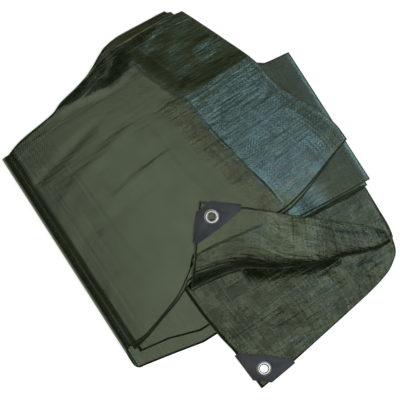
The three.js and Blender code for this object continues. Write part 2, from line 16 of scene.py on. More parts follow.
import bmesh
import bpy
import numpy as np
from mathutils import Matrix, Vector


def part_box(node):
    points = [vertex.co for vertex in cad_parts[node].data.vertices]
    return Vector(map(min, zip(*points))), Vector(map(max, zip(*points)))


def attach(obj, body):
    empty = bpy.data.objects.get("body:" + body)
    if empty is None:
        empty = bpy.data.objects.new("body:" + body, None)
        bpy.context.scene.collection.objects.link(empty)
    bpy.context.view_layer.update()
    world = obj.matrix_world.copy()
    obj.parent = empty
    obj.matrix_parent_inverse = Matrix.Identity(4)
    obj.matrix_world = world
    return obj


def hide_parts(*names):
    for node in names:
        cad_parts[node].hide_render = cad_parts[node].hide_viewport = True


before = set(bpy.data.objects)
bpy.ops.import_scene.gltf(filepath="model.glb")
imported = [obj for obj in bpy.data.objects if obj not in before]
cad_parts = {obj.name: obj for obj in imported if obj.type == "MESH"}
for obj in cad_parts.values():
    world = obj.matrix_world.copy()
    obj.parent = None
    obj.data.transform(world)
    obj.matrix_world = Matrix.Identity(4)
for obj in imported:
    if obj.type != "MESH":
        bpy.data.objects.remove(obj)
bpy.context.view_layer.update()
print("frame nodes:", sorted(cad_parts))

# %% [markdown]
# ## Drawing units and the place of the drawing
#
# The sheet is drawn in millimetres on a plan whose zero is the tip of the turned-back corner: X runs
# across the folds and Y along them. The frame's own zero is under the middle of the bundle. The
# eyelet of the turned-back corner is in both, so the difference between its two places moves the
# drawing onto the frame. Nothing has to be fitted by eye.

# %% Plan and frame
MM = 0.001
EYELET_INSET = 21.0


def unit(dx, dy):
    """Direction of a line on the plan, as a vector of length 1."""
    length = math.hypot(dx, dy)
    return np.array([dx / length, dy / length])


UPPER_TIP = np.array([-2.0, 0.0])
UPPER_HEM_WAY = unit(61 + 2, -56)
UPPER_SIDE_WAY = unit(-85 + 2, -107)
UPPER_EYELET = UPPER_TIP + EYELET_INSET * (UPPER_HEM_WAY + UPPER_SIDE_WAY)

LOWER_TIP = np.array([-76.0, -290.0])
LOWER_HEM_WAY = unit(-14 + 76, -282 + 290)
LOWER_SIDE_WAY = unit(-81 + 76, -222 + 290)
LOWER_EYELET = LOWER_TIP + EYELET_INSET * (LOWER_HEM_WAY + LOWER_SIDE_WAY)


def middle(node):
    """Middle of a frame node's box, in millimetres."""
    low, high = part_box(node)
    return (np.array(low) + np.array(high)) / 2 / MM


PLAN_SHIFT = middle("eyelet_upper")[:2] - UPPER_EYELET
LOWER_SHIFT = middle("eyelet_lower")[:2] - LOWER_EYELET
print("plan moved by", PLAN_SHIFT.round(2), "mm; by the other eyelet", LOWER_SHIFT.round(2))

# %% [markdown]
# ## The camera
#
# The photograph looks straight down on the bundle, which lies turned on the table. So the camera is
# level with nothing but the floor below it, and it is rolled by the angle between the folds and the
# picture's upright. A long lens from 2.2 m keeps the view nearly free of perspective, and 600 mm of
# table fills the picture's width.

# %% Camera
VIEW_WIDTH = 600 * MM
CAMERA_HEIGHT = 2.2
CAMERA_ROLL = math.radians(-32.8)
PICTURE_LEVEL = 20 * MM

camera_data = bpy.data.cameras.new("camera")
camera_data.lens = camera_data.sensor_width * (CAMERA_HEIGHT - PICTURE_LEVEL) / VIEW_WIDTH
camera = bpy.data.objects.new("camera", camera_data)
camera.location = (PLAN_SHIFT[0] * MM, PLAN_SHIFT[1] * MM, CAMERA_HEIGHT)
camera.rotation_euler = (0, 0, CAMERA_ROLL)
bpy.context.scene.collection.objects.link(camera)
bpy.context.scene.camera = camera
print("lens", round(camera_data.lens, 1), "mm")

# %% [markdown]
# ## Lines read from short tables
#
# Each edge and fold of the cloth is a line on the plan, given by a few points. A monotone cubic
# through them bends gently at every point and never swings past one, as a real edge of cloth does.
# Straight segments would show as corners, and an ordinary spline would add waves.

# %% Smooth lines
def smooth_line(points):
    """A function that reads a smooth line through (at, value) rows, level beyond its ends."""
    at = np.array([p[0] for p in points], float)
    value = np.array([p[1] for p in points], float)
    if len(at) == 1:
        return lambda x: np.full_like(np.asarray(x, float), value[0])
    step = np.diff(at)
    slope = np.diff(value) / step
    lean = np.zeros(len(at))
    lean[0], lean[-1] = slope[0], slope[-1]
    same_way = slope[:-1] * slope[1:] > 0
    lean[1:-1][same_way] = 2 / (1 / slope[:-1][same_way] + 1 / slope[1:][same_way])

    def read(x):
        x = np.clip(np.asarray(x, float), at[0], at[-1])
        k = np.clip(np.searchsorted(at, x) - 1, 0, len(step) - 1)
        t = (x - at[k]) / step[k]
        start = value[k] * (1 + 2 * t) * (1 - t) ** 2 + lean[k] * step[k] * t * (1 - t) ** 2
        end = value[k + 1] * (3 - 2 * t) * t**2 - lean[k + 1] * step[k] * (1 - t) * t**2
        return start + end

    return read


def ease(t):
    """0 below 0, 1 above 1, and a smooth step between."""
    t = np.clip(t, 0, 1)
    return t * t * (3 - 2 * t)


def mix(a, b, t):
    return a + (b - a) * t


# %% [markdown]
# ## The outlines
#
# These are the lines that the photograph shows, from the cover on top down to the ply on the table:
# the far ends, the near ends, the folds, and the hem and free side of the opened-out corner. They are
# the same lines as in the solid model, so the finished cloth lies where the solid is.

# %% Outlines on the plan
COVER_FAR = smooth_line([
    (-217, 212), (-177, 224), (-115, 231), (-97, 238), (-61, 245), (-8, 259), (19, 262), (87, 260),
    (130, 254),
])
PLY_FAR = smooth_line([
    (-205, 206), (-177, 218), (-115, 225), (-61, 240), (-20, 258), (-8, 265), (5, 270), (32, 273),
    (85, 270), (108, 268), (117, 262), (124, 240), (150, 177), (183, 123), (231, 115),
])
COVER_NEAR = smooth_line([
    (-204, -128), (-184, -128), (-159, -122), (-130, -113), (-106, -104), (-71, -82), (-48, -64),
    (92, -80), (234, -43),
])
COVER_LINING_NEAR = smooth_line([(-204, -124), (-106, -96), (-48, -62), (92, -85), (234, -47)])
MIDDLE_NEAR = smooth_line([
    (-204, -143), (-192, -141), (-150, -128), (-96, -109), (-82, -98), (0, -94), (118, -105),
    (232, -112),
])
INNER_NEAR = smooth_line([(-204, -134), (-150, -118), (-96, -96), (0, -90), (118, -98), (232, -107)])
JOINT = smooth_line([(-204, -130), (-150, -114), (-85, -95), (0, -96), (118, -106), (220, -114)])
FLOOR_NEAR = smooth_line([(-210, -165), (-158, -175), (-88, -187), (0, -172), (100, -150), (224, -118)])
FLOOR_LINING_NEAR = smooth_line([
    (-200, -144), (-158, -150), (-90, -168), (0, -154), (100, -135), (224, -114),
])
APRON_HEM = smooth_line([
    (-76, -290), (-14, -282), (17, -277), (91, -265), (156, -253), (184, -244), (203, -231),
])
APRON_SIDE = smooth_line([(-290, -76), (-222, -81), (-188, -87), (-113, -93), (240, -93)])
APRON_FOLD = smooth_line([(-231, 203), (-222, 209), (-205, 214), (-182, 218), (-113, 219), (240, 221)])
COVER_FOLD = smooth_line([
    (-43, 234), (-23, 233), (90, 188), (123, 183), (190, 158), (218, 146), (241, 136), (254, 130),
])
RIDGE = smooth_line([
    (-110, 99), (-58, 95), (-9, 85), (42, 75), (82, 67), (135, 60), (176, 42), (225, 25), (275, 12),
])
END_CREASE = smooth_line([
    (-217, 240), (-101, 231), (-58, 234), (-19, 217), (10, 220), (26, 228), (130, 262), (240, 262),
])
print("cover's far end at the long crease:", COVER_FAR(25).round(1), "mm")

# %% [markdown]
# ## The lie of the bundle
#
# A pile of plies has one top surface, and every ply below is a lower copy of it. Here the cover is
# highest along one long crease. To its left lies the flat panel. To its right the band falls away in
# one long slope, which levels out before the slanting fold. Past a crossing crease it also falls
# towards the far end. The ends droop, because fewer plies reach them, and the left side rounds over
# into the wrap. One height function gives all this, so the plies can't cross. The plies below the
# cover's lining follow a second profile of the same kind, which levels out where they show.

# %% Height of the cover and of the plies under it
HALF_CLOTH = 0.5
PILE_HEIGHT = 33.0
TOP_LEVEL = 9
LINING_LEVEL = 8
CROSS_CREASE_Y = 142
BAND_FALL = smooth_line([
    (0, 0), (3, 0.4), (8, 1.15), (20, 2.8), (50, 6.3), (85, 10.0), (105, 12.1), (118, 13.0), (150, 13.5),
])
INNER_FALL = smooth_line([
    (0, 0), (8, 1.6), (20, 4.8), (40, 9.6), (58, 12.8), (72, 13.4), (110, 13.0), (150, 12.6),
])
PANEL_FALL = smooth_line([(0, 0), (12, 0.25), (90, 1.3), (160, 2.9), (230, 5.4), (300, 7.6)])
FAR_FALL = smooth_line([(0, 0), (18, 1.8), (55, 3.6), (115, 6.0)])
BAND_BLEND, FAR_BLEND = 20, 35
# each droop: how far past its line it starts, how far it takes, its depth on the panel and on the band
NEAR_DROOP = dict(start=10, reach=65, panel=3.5, band=2.0)
FAR_DROOP = dict(start=8, reach=45, panel=6.0, band=3.0)
LEFT_ROUND = dict(from_x=-196, reach=8, depth=0.8)


def droop(spec, band, share):
    return mix(spec["panel"], spec["band"], band) * share


def pile_height(x, y, band_fall):
    """Height of the pile's top surface, with its own profile for the band right of the crease."""
    side = x - RIDGE(y)
    band = ease(side / BAND_BLEND)
    fall = np.where(side > 0, band_fall(np.maximum(side, 0)), PANEL_FALL(np.maximum(-side, 0)))
    fall = fall + ease(side / FAR_BLEND) * FAR_FALL(np.maximum(y - CROSS_CREASE_Y, 0))
    near = 1 - ease((y - COVER_NEAR(x) + NEAR_DROOP["start"]) / NEAR_DROOP["reach"])
    far = ease((FAR_DROOP["start"] - (END_CREASE(x) - y)) / FAR_DROOP["reach"])
    left = LEFT_ROUND["depth"] * ease((LEFT_ROUND["from_x"] - x) / LEFT_ROUND["reach"])
    return PILE_HEIGHT - fall - droop(NEAR_DROOP, band, near) - droop(FAR_DROOP, band, far) - left


def cover_height(x, y):
    return pile_height(x, y, BAND_FALL)


def ply_height(level, x, y):
    top = pile_height(x, y, BAND_FALL if level >= LINING_LEVEL else INNER_FALL)
    return HALF_CLOTH + (top - HALF_CLOTH) * (level / TOP_LEVEL)


print("cover's height at the crease", cover_height(80.0, 20.0), "at the fold", cover_height(215.0, 20.0))

# %% [markdown]
# ## Creases
#
# Coated cloth keeps every fold that it has had as a thin line, and between the lines it crinkles.
# A crease here is a line on the plan with a width and a rise, blunt at its ends. A trough has a
# negative rise. The main ones are placed where the photograph shows them. The small ones,
# which nobody could count, are scattered along the weave with a fixed seed.

# %% Creases as lines with a width and a rise
CREASE_FADE_SHARE, CREASE_FADE_LIMIT = 0.35, 25


def crease_field(x, y, creases):
    """Sum of the rises of all creases at each point, in millimetres."""
    total = np.zeros_like(x)
    for x1, y1, x2, y2, width, rise in creases:
        length = math.hypot(x2 - x1, y2 - y1)
        along = ((x - x1) * (x2 - x1) + (y - y1) * (y2 - y1)) / length
        across = ((y - y1) * (x2 - x1) - (x - x1) * (y2 - y1)) / length
        fade = min(CREASE_FADE_SHARE * length, CREASE_FADE_LIMIT)
        ends = ease(along / fade) * ease((length - along) / fade)
        total += rise * np.exp(-((across / width) ** 2)) * ends
    return total


def scattered_creases(seed, count, low, high, length, turn, width, rise):
    """Short creases between two corners of the plan, turned up to `turn` degrees off the X way."""
    dice = random.Random(seed)
    rows = []
    for _ in range(count):
        x = dice.uniform(low[0], high[0])
        y = dice.uniform(low[1], high[1])
        angle = math.radians(dice.gauss(0, turn / 2))
        reach = dice.uniform(*length) / 2
        dx, dy = reach * math.cos(angle), reach * math.sin(angle)
        way = dice.choice((-1, 1))
        rows.append((x - dx, y - dy, x + dx, y + dy, dice.uniform(*width), way * dice.uniform(*rise)))
    return rows


COVER_CREASES = [
    (-112, 228, -6, 214, 5, 0.9),
    (-6, 214, 30, 236, 5, 0.8),
    (-95, 236, -30, 240, 5, -0.9),
    (-60, 233, -20, 250, 4, 1.0),
    (-24, 222, 8, 246, 4, -1.0),
    (0, 222, 20, 250, 4, 1.0),
    (-205, 150, -60, 182, 7, -0.5),
    (-190, 110, -20, 150, 9, 0.35),
    (-200, 40, -30, 62, 8, -0.3),
    (-120, 72, 10, 88, 4, 0.35),
    (-205, -40, -60, -18, 9, 0.35),
    (-180, -92, -80, -70, 10, 0.4),
    (42, 262, 73, 178, 2.2, 0.5),
    (73, 178, 84, 148, 2.2, 0.3),
    (72, 200, 170, 197, 3, 0.45),
    (20, 250, 70, 238, 9, 0.5),
    (30, 228, 84, 214, 8, -0.4),
    (60, 215, 130, 232, 9, 0.4),
    (92, 226, 140, 220, 8, -0.5),
    (78, 190, 120, 214, 8, -0.3),
    (110, 205, 160, 178, 8, 0.4),
    (66, 168, 118, 176, 8, -0.3),
    (104, 176, 150, 168, 8, -0.3),
    (60, 150, 92, 160, 5, 0.6),
]
# seed, count, two corners of the plan, length, turn, width, rise: panel, band, far third, far left
for row in (
    (11, 70, (-200, -110), (60, 215), (30, 110), 9, (4, 9), (0.02, 0.07)),
    (12, 60, (60, -60), (215, 150), (20, 80), 8, (2.5, 5), (0.06, 0.24)),
    (13, 34, (30, 150), (165, 250), (20, 60), 30, (3.5, 7), (0.05, 0.2)),
    (14, 20, (-110, 225), (25, 255), (20, 50), 40, (3, 6), (0.2, 0.5)),
):
    COVER_CREASES += scattered_creases(*row)
print(len(COVER_CREASES), "creases on the cover")

# %% [markdown]
# ## The opened-out corner on the table
#
# The ply that carries the lower corner slides out of the bundle, sags to the table and lies there in
# soft swells. It lies flat where its corner patch stiffens it. The swells are oval humps and hollows,
# each turned its own way, as the photograph shows them, and one broad ridge lies along the roll of
# the corner above. A cloth simulation could settle it, but would not land on the photograph's lines.

# %% Height of the opened-out corner
APRON_LEVEL = 2
FLAP_LEVEL = 3
PLY_CLEARANCE = 3.2
LOWER_CORNER_Z = 4.2
# heights of the ply past the roll and on the table, and where each change starts and how far it takes
PAST_ROLL_Z, TABLE_Z = 5.2, 2.2
SETTLE_START, SETTLE_REACH = 2, 26
SAG_START, SAG_REACH = 3, 60
SWELL_START, SWELL_REACH = 4, 22
FLAT_CORNER, FLAT_FADE = 96, 40
# the flap, station by station: its roll, its hem, and the oval that the cloth turns round
FLAP_STATIONS = [
    dict(x=-85, roll_y=-107, hem_x=-2, hem_y=0, hem_z=38.4, crown_z=38.4, reach=52, tuck=7),
    dict(x=-27, roll_y=-116, hem_x=39, hem_y=-37, hem_z=38.4, crown_z=38.4, reach=48, tuck=9),
    dict(x=4, roll_y=-126, hem_x=61, hem_y=-56, hem_z=38.4, crown_z=37.5, reach=46, tuck=10),
    dict(x=46, roll_y=-152, hem_x=91, hem_y=-82, hem_z=35, crown_z=32, reach=43, tuck=10),
    dict(x=93, roll_y=-171, hem_x=124, hem_y=-111, hem_z=25, crown_z=24, reach=34, tuck=9),
    dict(x=139, roll_y=-190, hem_x=156, hem_y=-139, hem_z=17, crown_z=18, reach=26, tuck=8),
    dict(x=192, roll_y=-208, hem_x=194, hem_y=-174, hem_z=13, crown_z=13.5, reach=14, tuck=6),
    dict(x=211, roll_y=-209, hem_x=211, hem_y=-191, hem_z=10, crown_z=10.2, reach=8, tuck=4),
]
FLAP = {key: smooth_line([(row["x"], row[key]) for row in FLAP_STATIONS]) for key in FLAP_STATIONS[0]}
ROLL_LINE = FLAP["roll_y"]
# one broad ridge along the roll: its far side, in the roll's shade, is the dark line in the photograph
APRON_SHOULDER = [(-2, -117, 140, -184, 17, 6.5)]
APRON_SWELLS = [
    (158, -222, 32, 14, 24, 2.4),
    (36, -206, 46, 28, -20, 2.3),
    (-22, -226, 26, 14, 50, 1.2),
    (20, -252, 30, 10, 20, -0.9),
]
APRON_CREASES = [
    (-60, -150, -20, -205, 6, 0.35),
    (-40, -215, 30, -262, 7, 0.4),
    (30, -235, 90, -255, 6, 0.4),
    (96, -190, 112, -236, 4.5, -1.4),
    (104, -188, 124, -214, 3.5, 1.0),
    (150, -215, 196, -222, 5, 0.6),
    (118, -200, 150, -214, 5, 0.7),
    (165, -225, 190, -238, 4, -0.5),
]
APRON_CREASES += scattered_creases(21, 50, (-70, -270), (195, -130), (20, 70), 40, (3, 7), (0.1, 0.34))


def swell_field(x, y, swells):
    total = np.zeros_like(x)
    for cx, cy, long, wide, turn, rise in swells:
        c, s = math.cos(math.radians(turn)), math.sin(math.radians(turn))
        along = ((x - cx) * c + (y - cy) * s) / long
        across = ((y - cy) * c - (x - cx) * s) / wide
        total += rise * np.exp(-(along**2) - across**2)
    return total


def corner_reach(x, y, tip, hem_way, side_way):
    """Distance from a corner's tip, measured along its two sides together."""
    along_hem = (x - tip[0]) * hem_way[0] + (y - tip[1]) * hem_way[1]
    along_side = (x - tip[0]) * side_way[0] + (y - tip[1]) * side_way[1]
    return np.maximum(along_hem, 0) + np.maximum(along_side, 0)


def apron_height(x, y, creased=True):
    in_bundle = ply_height(APRON_LEVEL, x, np.maximum(y, JOINT(x)))
    settled = ease((ROLL_LINE(x) - SETTLE_START - y) / SETTLE_REACH)
    rest = mix(in_bundle, np.minimum(in_bundle, PAST_ROLL_Z), settled)
    sag = ease((FLOOR_NEAR(x) - SAG_START - y) / SAG_REACH)
    outside = ease((ROLL_LINE(x) - SWELL_START - y) / SWELL_REACH)
    swell = swell_field(x, y, APRON_SWELLS)
    if creased:
        swell = swell + crease_field(x, y, APRON_CREASES)
    lie = mix(rest, TABLE_Z, sag) + swell * outside + crease_field(x, y, APRON_SHOULDER)
    reach = corner_reach(x, y, LOWER_TIP, LOWER_HEM_WAY, LOWER_SIDE_WAY)
    flat = 1 - ease((reach - FLAT_CORNER) / FLAT_FADE)
    return np.maximum(HALF_CLOTH, mix(lie, LOWER_CORNER_Z, flat))


def opened_ply_height(x, y):
    clear = apron_height(x, y, creased=False) + PLY_CLEARANCE
    return np.maximum(clear, ply_height(FLAP_LEVEL, x, np.maximum(y, JOINT(x))))


print("corner on the table lies", float(apron_height(np.array([-50.0]), np.array([-260.0]))[0]), "mm up")

# %% [markdown]
# ## The sheet as one grid
#
# A folded sheet is still one sheet. So it is drawn as one grid of points, column after column in the
# order in which the cloth runs: out along one ply, round the fold, back along the next. Rows run
# along the folds. The two opened-out plies have extra rows for the part that leaves the bundle, and
# other columns simply lack them. Modelling each ply by itself would be quicker, but then the folds
# would be glued on, and the weave would break at each one.

# %% Rows, folds and plies
FLAP_ROWS = 24
ROLL_ROWS = 26
LOWER_ROWS = 12
BUNDLE_ROWS = 98
ROLL_END = FLAP_ROWS + ROLL_ROWS
EXTRA_ROWS = ROLL_END + LOWER_ROWS
FOLD_STEPS = 6
WRAP_STEPS = 14
WRAP_DEPTH = 13
WRAP_SQUARENESS = 0.72
CREST_SHARE = 0.686
FLAP_CUT_SHARE = 0.28
CREASELESS_EDGE = 0.03


def upright(x):
    return smooth_line([(0, x)])


FOLDS = {
    "apron side": (APRON_SIDE, -95, 232),
    "apron": (APRON_FOLD, -114, 108),
    "flap left": (upright(-203), -130, 206),
    "inner right": (upright(229), -107, 112),
    "inner left": (upright(-203), -134, 207),
    "middle right": (upright(231), -112, 115),
    "cover left": (upright(-203), -136, 209),
    "cover right": (COVER_FOLD, -43, 254),
    "wrap top": (upright(-204), -128, 212),
    "wrap floor": (smooth_line([(-165, -207), (212, -204)]), -165, 212),
    "floor right": (upright(224), -118, 108),
    "floor side": (upright(-200), -144, 204),
}
# each ply: level in the pile, left fold, right fold, near end, far end
PLIES = {
    "apron": (2, "apron side", "apron", JOINT, PLY_FAR),
    "flap": (3, "flap left", "apron", JOINT, PLY_FAR),
    "inner": (4, "flap left", "inner right", INNER_NEAR, PLY_FAR),
    "inner upper": (5, "inner left", "inner right", INNER_NEAR, PLY_FAR),
    "middle lower": (6, "inner left", "middle right", INNER_NEAR, PLY_FAR),
    "middle": (7, "cover left", "middle right", MIDDLE_NEAR, PLY_FAR),
    "cover lining": (8, "cover left", "cover right", COVER_LINING_NEAR, COVER_FAR),
    "cover": (9, "wrap top", "cover right", COVER_NEAR, COVER_FAR),
    "floor": (0, "wrap floor", "floor right", FLOOR_NEAR, PLY_FAR),
    "floor lining": (1, "floor side", "floor right", FLOOR_LINING_NEAR, PLY_FAR),
}


def fold_point(fold, along):
    line, near, far = fold
    y = mix(near, far, along)
    return line(y), y


def ply_plan(left, right, near_end, far_end, across, along):
    """Plan position of the points at `across` by `along` of a ply between two folds."""
    across = np.asarray(across, float)[:, None]
    along = np.atleast_2d(along)
    (lx, ly), (rx, ry) = fold_point(left, along), fold_point(right, along)
    x = mix(lx, rx, across)
    y = mix(ly, ry, across)
    for end, at, weight in ((near_end, 0.0, 1 - along), (far_end, 1.0, along)):
        (ex, ey), (fx, fy) = fold_point(left, at), fold_point(right, at)
        miss = mix(ey - end(ex), fy - end(fx), across)
        y = y + (end(mix(ex, fx, across)) + miss - mix(ey, fy, across)) * weight
    return x, y


MIDDLE_CREASES = [
    (188, 108, 226, 86, 3, 0.5),
    (190, 60, 228, 100, 5, -0.5),
    (120, -88, 225, -60, 8, 0.5),
    (-190, -134, -110, -108, 3, 0.5),
]


def blank_columns(count):
    """Columns of the grid with nothing in them yet: not-a-number marks a missing point."""
    return np.full((count, EXTRA_ROWS + BUNDLE_ROWS + 1, 3), np.nan)


def bundle_columns(name, across):
    level, left, right, near_end, far_end = PLIES[name]
    along = np.linspace(0, 1, BUNDLE_ROWS + 1)
    x, y = ply_plan(FOLDS[left], FOLDS[right], near_end, far_end, across, along)
    z = ply_height(level, x, y)
    if name == "cover":
        edge = np.asarray(across)[:, None]
        edge = ease(np.minimum(edge, 1 - edge) / CREASELESS_EDGE)
        z = z + crease_field(x, y, COVER_CREASES) * edge
    if name == "middle":
        z = z + crease_field(x, y, MIDDLE_CREASES)
    columns = blank_columns(len(across))
    columns[:, EXTRA_ROWS:] = np.stack([x, y, z], axis=-1)
    return columns


print(len(PLIES), "plies,", EXTRA_ROWS + BUNDLE_ROWS + 1, "rows")

# %% [markdown]
# ## The corner on the table and the corner turned back
#
# Both corners belong to plies of the bundle. The lower one simply runs out of it. The upper one runs
# out over the lower, turns round an oval roll and comes back over the bundle, hem uppermost. The roll
# is long and easy on top and short below, because the cloth's own weight presses its lower half flat.
# Each column of the flap is worked out from its station: hem, crown, roll, underside, and the way
# back to the joint.

# %% Columns of the two corners
OPENED_SIDE = (APRON_SIDE, -290, -95)
OPENED_FOLD = (APRON_FOLD, -231, -114)
CROWDED_SHARE = 0.22
CROWDED_FROM = 0.55
FLAP_FROM, FLAP_TO = -85, 211
ROLL_WAIST = 0.42
STIFF_CORNER, STIFF_FADE = 66, 24
FLAP_CREASES = [
    (96, -92, 110, -150, 5, -0.4),
    (128, -120, 136, -172, 5, 0.5),
    (140, -140, 196, -186, 4, -0.6),
    (110, -128, 176, -176, 5, 0.5),
]
FLAP_CREASES += scattered_creases(31, 34, (-60, -180), (190, -30), (20, 70), 60, (3, 7), (0.03, 0.12))


def apron_columns(across):
    across = np.asarray(across, float)
    rows = np.arange(EXTRA_ROWS)
    even = rows / EXTRA_ROWS
    crowded = np.interp(rows, [0, ROLL_END, EXTRA_ROWS], [0, CROWDED_SHARE, 1])
    along = mix(even, crowded, ease((across[:, None] - CROWDED_FROM) / (1 - CROWDED_FROM)))
    x, y = ply_plan(OPENED_SIDE, OPENED_FOLD, APRON_HEM, JOINT, across, along)
    columns = bundle_columns("apron", across)
    columns[:, :EXTRA_ROWS] = np.stack([x, y, apron_height(x, y)], axis=-1)
    return columns


def flap_columns(across):
    across = np.asarray(across, float)
    columns = bundle_columns("flap", across)
    x = mix(FLAP_FROM, FLAP_TO, (across - FLAP_CUT_SHARE) / (1 - FLAP_CUT_SHARE))[:, None]
    roll_y, hem_x, hem_y, hem_z, crown_z, reach, tuck = (FLAP[key](x) for key in list(FLAP)[1:])
    span = np.hypot(hem_x - x, hem_y - roll_y)
    out_x, out_y = (hem_x - x) / span, (hem_y - roll_y) / span
    under_z = opened_ply_height(x, roll_y + tuck)
    waist_z = mix(under_z, crown_z, ROLL_WAIST)

    flat = np.arange(FLAP_ROWS)[None, :] / FLAP_ROWS
    columns[:, :FLAP_ROWS, 0] = mix(hem_x, x + out_x * reach, flat)
    columns[:, :FLAP_ROWS, 1] = mix(hem_y, roll_y + out_y * reach, flat)
    columns[:, :FLAP_ROWS, 2] = mix(hem_z, crown_z, flat)

    turn = np.radians(np.linspace(90, -90, ROLL_ROWS + 1))[None, :]
    upper = turn >= 0
    out = reach * (1 - np.cos(turn)) * upper
    under = tuck * (1 - np.cos(turn)) * ~upper
    rise = np.where(upper, crown_z - waist_z, waist_z - under_z) * np.sin(turn)
    rolled = slice(FLAP_ROWS, ROLL_END + 1)
    columns[:, rolled, 0] = x + out_x * out
    columns[:, rolled, 1] = roll_y + out_y * out + under
    columns[:, rolled, 2] = waist_z + rise

    back = (np.arange(1, LOWER_ROWS) / LOWER_ROWS)[None, :]
    joint = columns[:, EXTRA_ROWS]
    bx = mix(columns[:, ROLL_END, 0, None], joint[:, 0, None], np.sqrt(back))
    by = mix(columns[:, ROLL_END, 1, None], joint[:, 1, None], back)
    columns[:, ROLL_END + 1 : EXTRA_ROWS] = np.stack([bx, by, opened_ply_height(bx, by)], axis=-1)

    top = columns[:, : FLAP_ROWS + ROLL_ROWS // 2]
    fade = np.ones(top.shape[1])
    fade[FLAP_ROWS:] = np.sin(turn[0, : ROLL_ROWS // 2])
    from_tip = corner_reach(top[..., 0], top[..., 1], UPPER_TIP, UPPER_HEM_WAY, UPPER_SIDE_WAY)
    stiff = ease((from_tip - STIFF_CORNER) / STIFF_FADE)
    top[..., 2] += crease_field(top[..., 0], top[..., 1], FLAP_CREASES) * fade * stiff
    return columns


print("flap's tip stands", flap_columns([FLAP_CUT_SHARE])[0, 0].round(1), "mm from the table")

# %% [markdown]
# ## Folds and the wrap
#
# Where the cloth turns from one ply to the next it stands off in a soft half round, as wide as the
# gap between the plies is high. On the left the cover goes round all of them together and carries on
# beneath the bundle, so its turn is one tall half oval, a little square because the plies fill it.
# Columns stand closest where a ply bends, and one more stands beside each fold, so that only the
# fold itself is shaded round. All columns put one after the other are the whole sheet.

# %% The whole sheet as a grid of points
def turn_columns(start, end, side):
    """Columns of a fold: a half round on the given side, or the wrap's squarer half oval."""
    wrap = side == "wrap"
    count, squareness = (WRAP_STEPS, WRAP_SQUARENESS) if wrap else (FOLD_STEPS, 1)
    depth = -WRAP_DEPTH if wrap else side * np.abs(end[:, 2] - start[:, 2]) / 2
    columns = []
    for turn in np.pi * np.arange(1, count) / count:
        down = math.copysign(abs(math.cos(turn)) ** squareness, math.cos(turn))
        column = mix(start, end, (1 - down) / 2)
        column[:, 0] += depth * math.sin(turn) ** squareness
        column[:ROLL_END] = np.nan
        columns.append(column)
    return np.array(columns)


def steps(start, end, count):
    return np.linspace(start, end, count + 1)


def by_folds(stations, way):
    """Stations of a ply, with one more beside each fold, so that only the fold itself is shaded round."""
    return np.sort(np.append(stations, [BY_FOLD, 1 - BY_FOLD]))[::way]


FINE = 60
BY_FOLD = 0.012
WRAP_WEAR, FOLD_WEAR = 0.25, 0.6
FLOOR_STATIONS = steps(0, 1, 9)
MIDDLE_STATIONS = steps(0, 1, 32)
# the plies between are hidden, and need stations only where the pile's profile bends
INNER_STATIONS = np.interp(steps(0, 1, 14), [0, 0.22, 0.9, 1], [0, 0.5, 0.88, 1])
cover_stations = np.concatenate([steps(1, CREST_SHARE, 40), steps(CREST_SHARE, 0, 76)[1:]])
flap_rest = steps(FLAP_CUT_SHARE, 0, 5)[1:]
opened_flap = flap_columns(steps(1, FLAP_CUT_SHARE, FINE))

# the runs of columns in the order in which the cloth runs, and the side that each fold turns on
RUNS = [
    (apron_columns(steps(0, 1, FINE)), 0),
    (np.concatenate([opened_flap, bundle_columns("flap", flap_rest)]), 1),
    (bundle_columns("inner", by_folds(INNER_STATIONS, 1)), -1),
    (bundle_columns("inner upper", by_folds(INNER_STATIONS, -1)), 1),
    (bundle_columns("middle lower", by_folds(INNER_STATIONS, 1)), -1),
    (bundle_columns("middle", by_folds(MIDDLE_STATIONS, -1)), 1),
    (bundle_columns("cover lining", steps(0, 1, 14)), -1),
    (bundle_columns("cover", cover_stations), 1),
    (bundle_columns("floor", by_folds(FLOOR_STATIONS, 1)), "wrap"),
    (bundle_columns("floor lining", by_folds(FLOOR_STATIONS, -1)), 1),
]
parts, fold_marks = [RUNS[0][0]], [np.zeros(len(RUNS[0][0]))]
for columns, side in RUNS[1:]:
    start, end = parts[-1][-1], columns[0]
    turn = turn_columns(start, end, side)
    parts += [turn, columns]
    amount = WRAP_WEAR if side == "wrap" else FOLD_WEAR
    fold_marks += [np.full(len(turn), amount), np.zeros(len(columns))]
cloth_grid = np.concatenate(parts)
fold_mark = np.concatenate(fold_marks)
cloth_grid[..., :2] += PLAN_SHIFT
print("grid of", cloth_grid.shape[0], "columns by", cloth_grid.shape[1], "rows")

# %% [markdown]
# ## From the grid to a thin closed sheet
#
# The grid is the middle of the cloth. Each point becomes two, half the cloth's thickness to either
# side along its normal, and a narrow rim closes every free edge. Cells at the eyelets are left out.
# A Solidify modifier would do much the same. Built this way, the same step also lays out the weave:
# the UV map is the distance along the cloth in both ways, in metres, so the tapes keep their width
# round every fold.

# %% Lengths along the cloth
def neighbour(grid, columns, rows):
    """The grid moved by whole steps; a point without a neighbour there stands in for it."""
    moved = np.full_like(grid, np.nan)
    n, m = grid.shape[:2]
    to = (slice(max(0, -columns), n - max(0, columns)), slice(max(0, -rows), m - max(0, rows)))
    source = (slice(max(0, columns), n + min(0, columns)), slice(max(0, rows), m + min(0, rows)))
    moved[to] = grid[source]
    return np.where(np.isnan(moved), grid, moved)


def grid_normals(grid):
    run = neighbour(grid, 1, 0) - neighbour(grid, -1, 0)
    rise = neighbour(grid, 0, 1) - neighbour(grid, 0, -1)
    normal = np.cross(run, rise)
    return normal / np.maximum(np.linalg.norm(normal, axis=-1, keepdims=True), 1e-9)


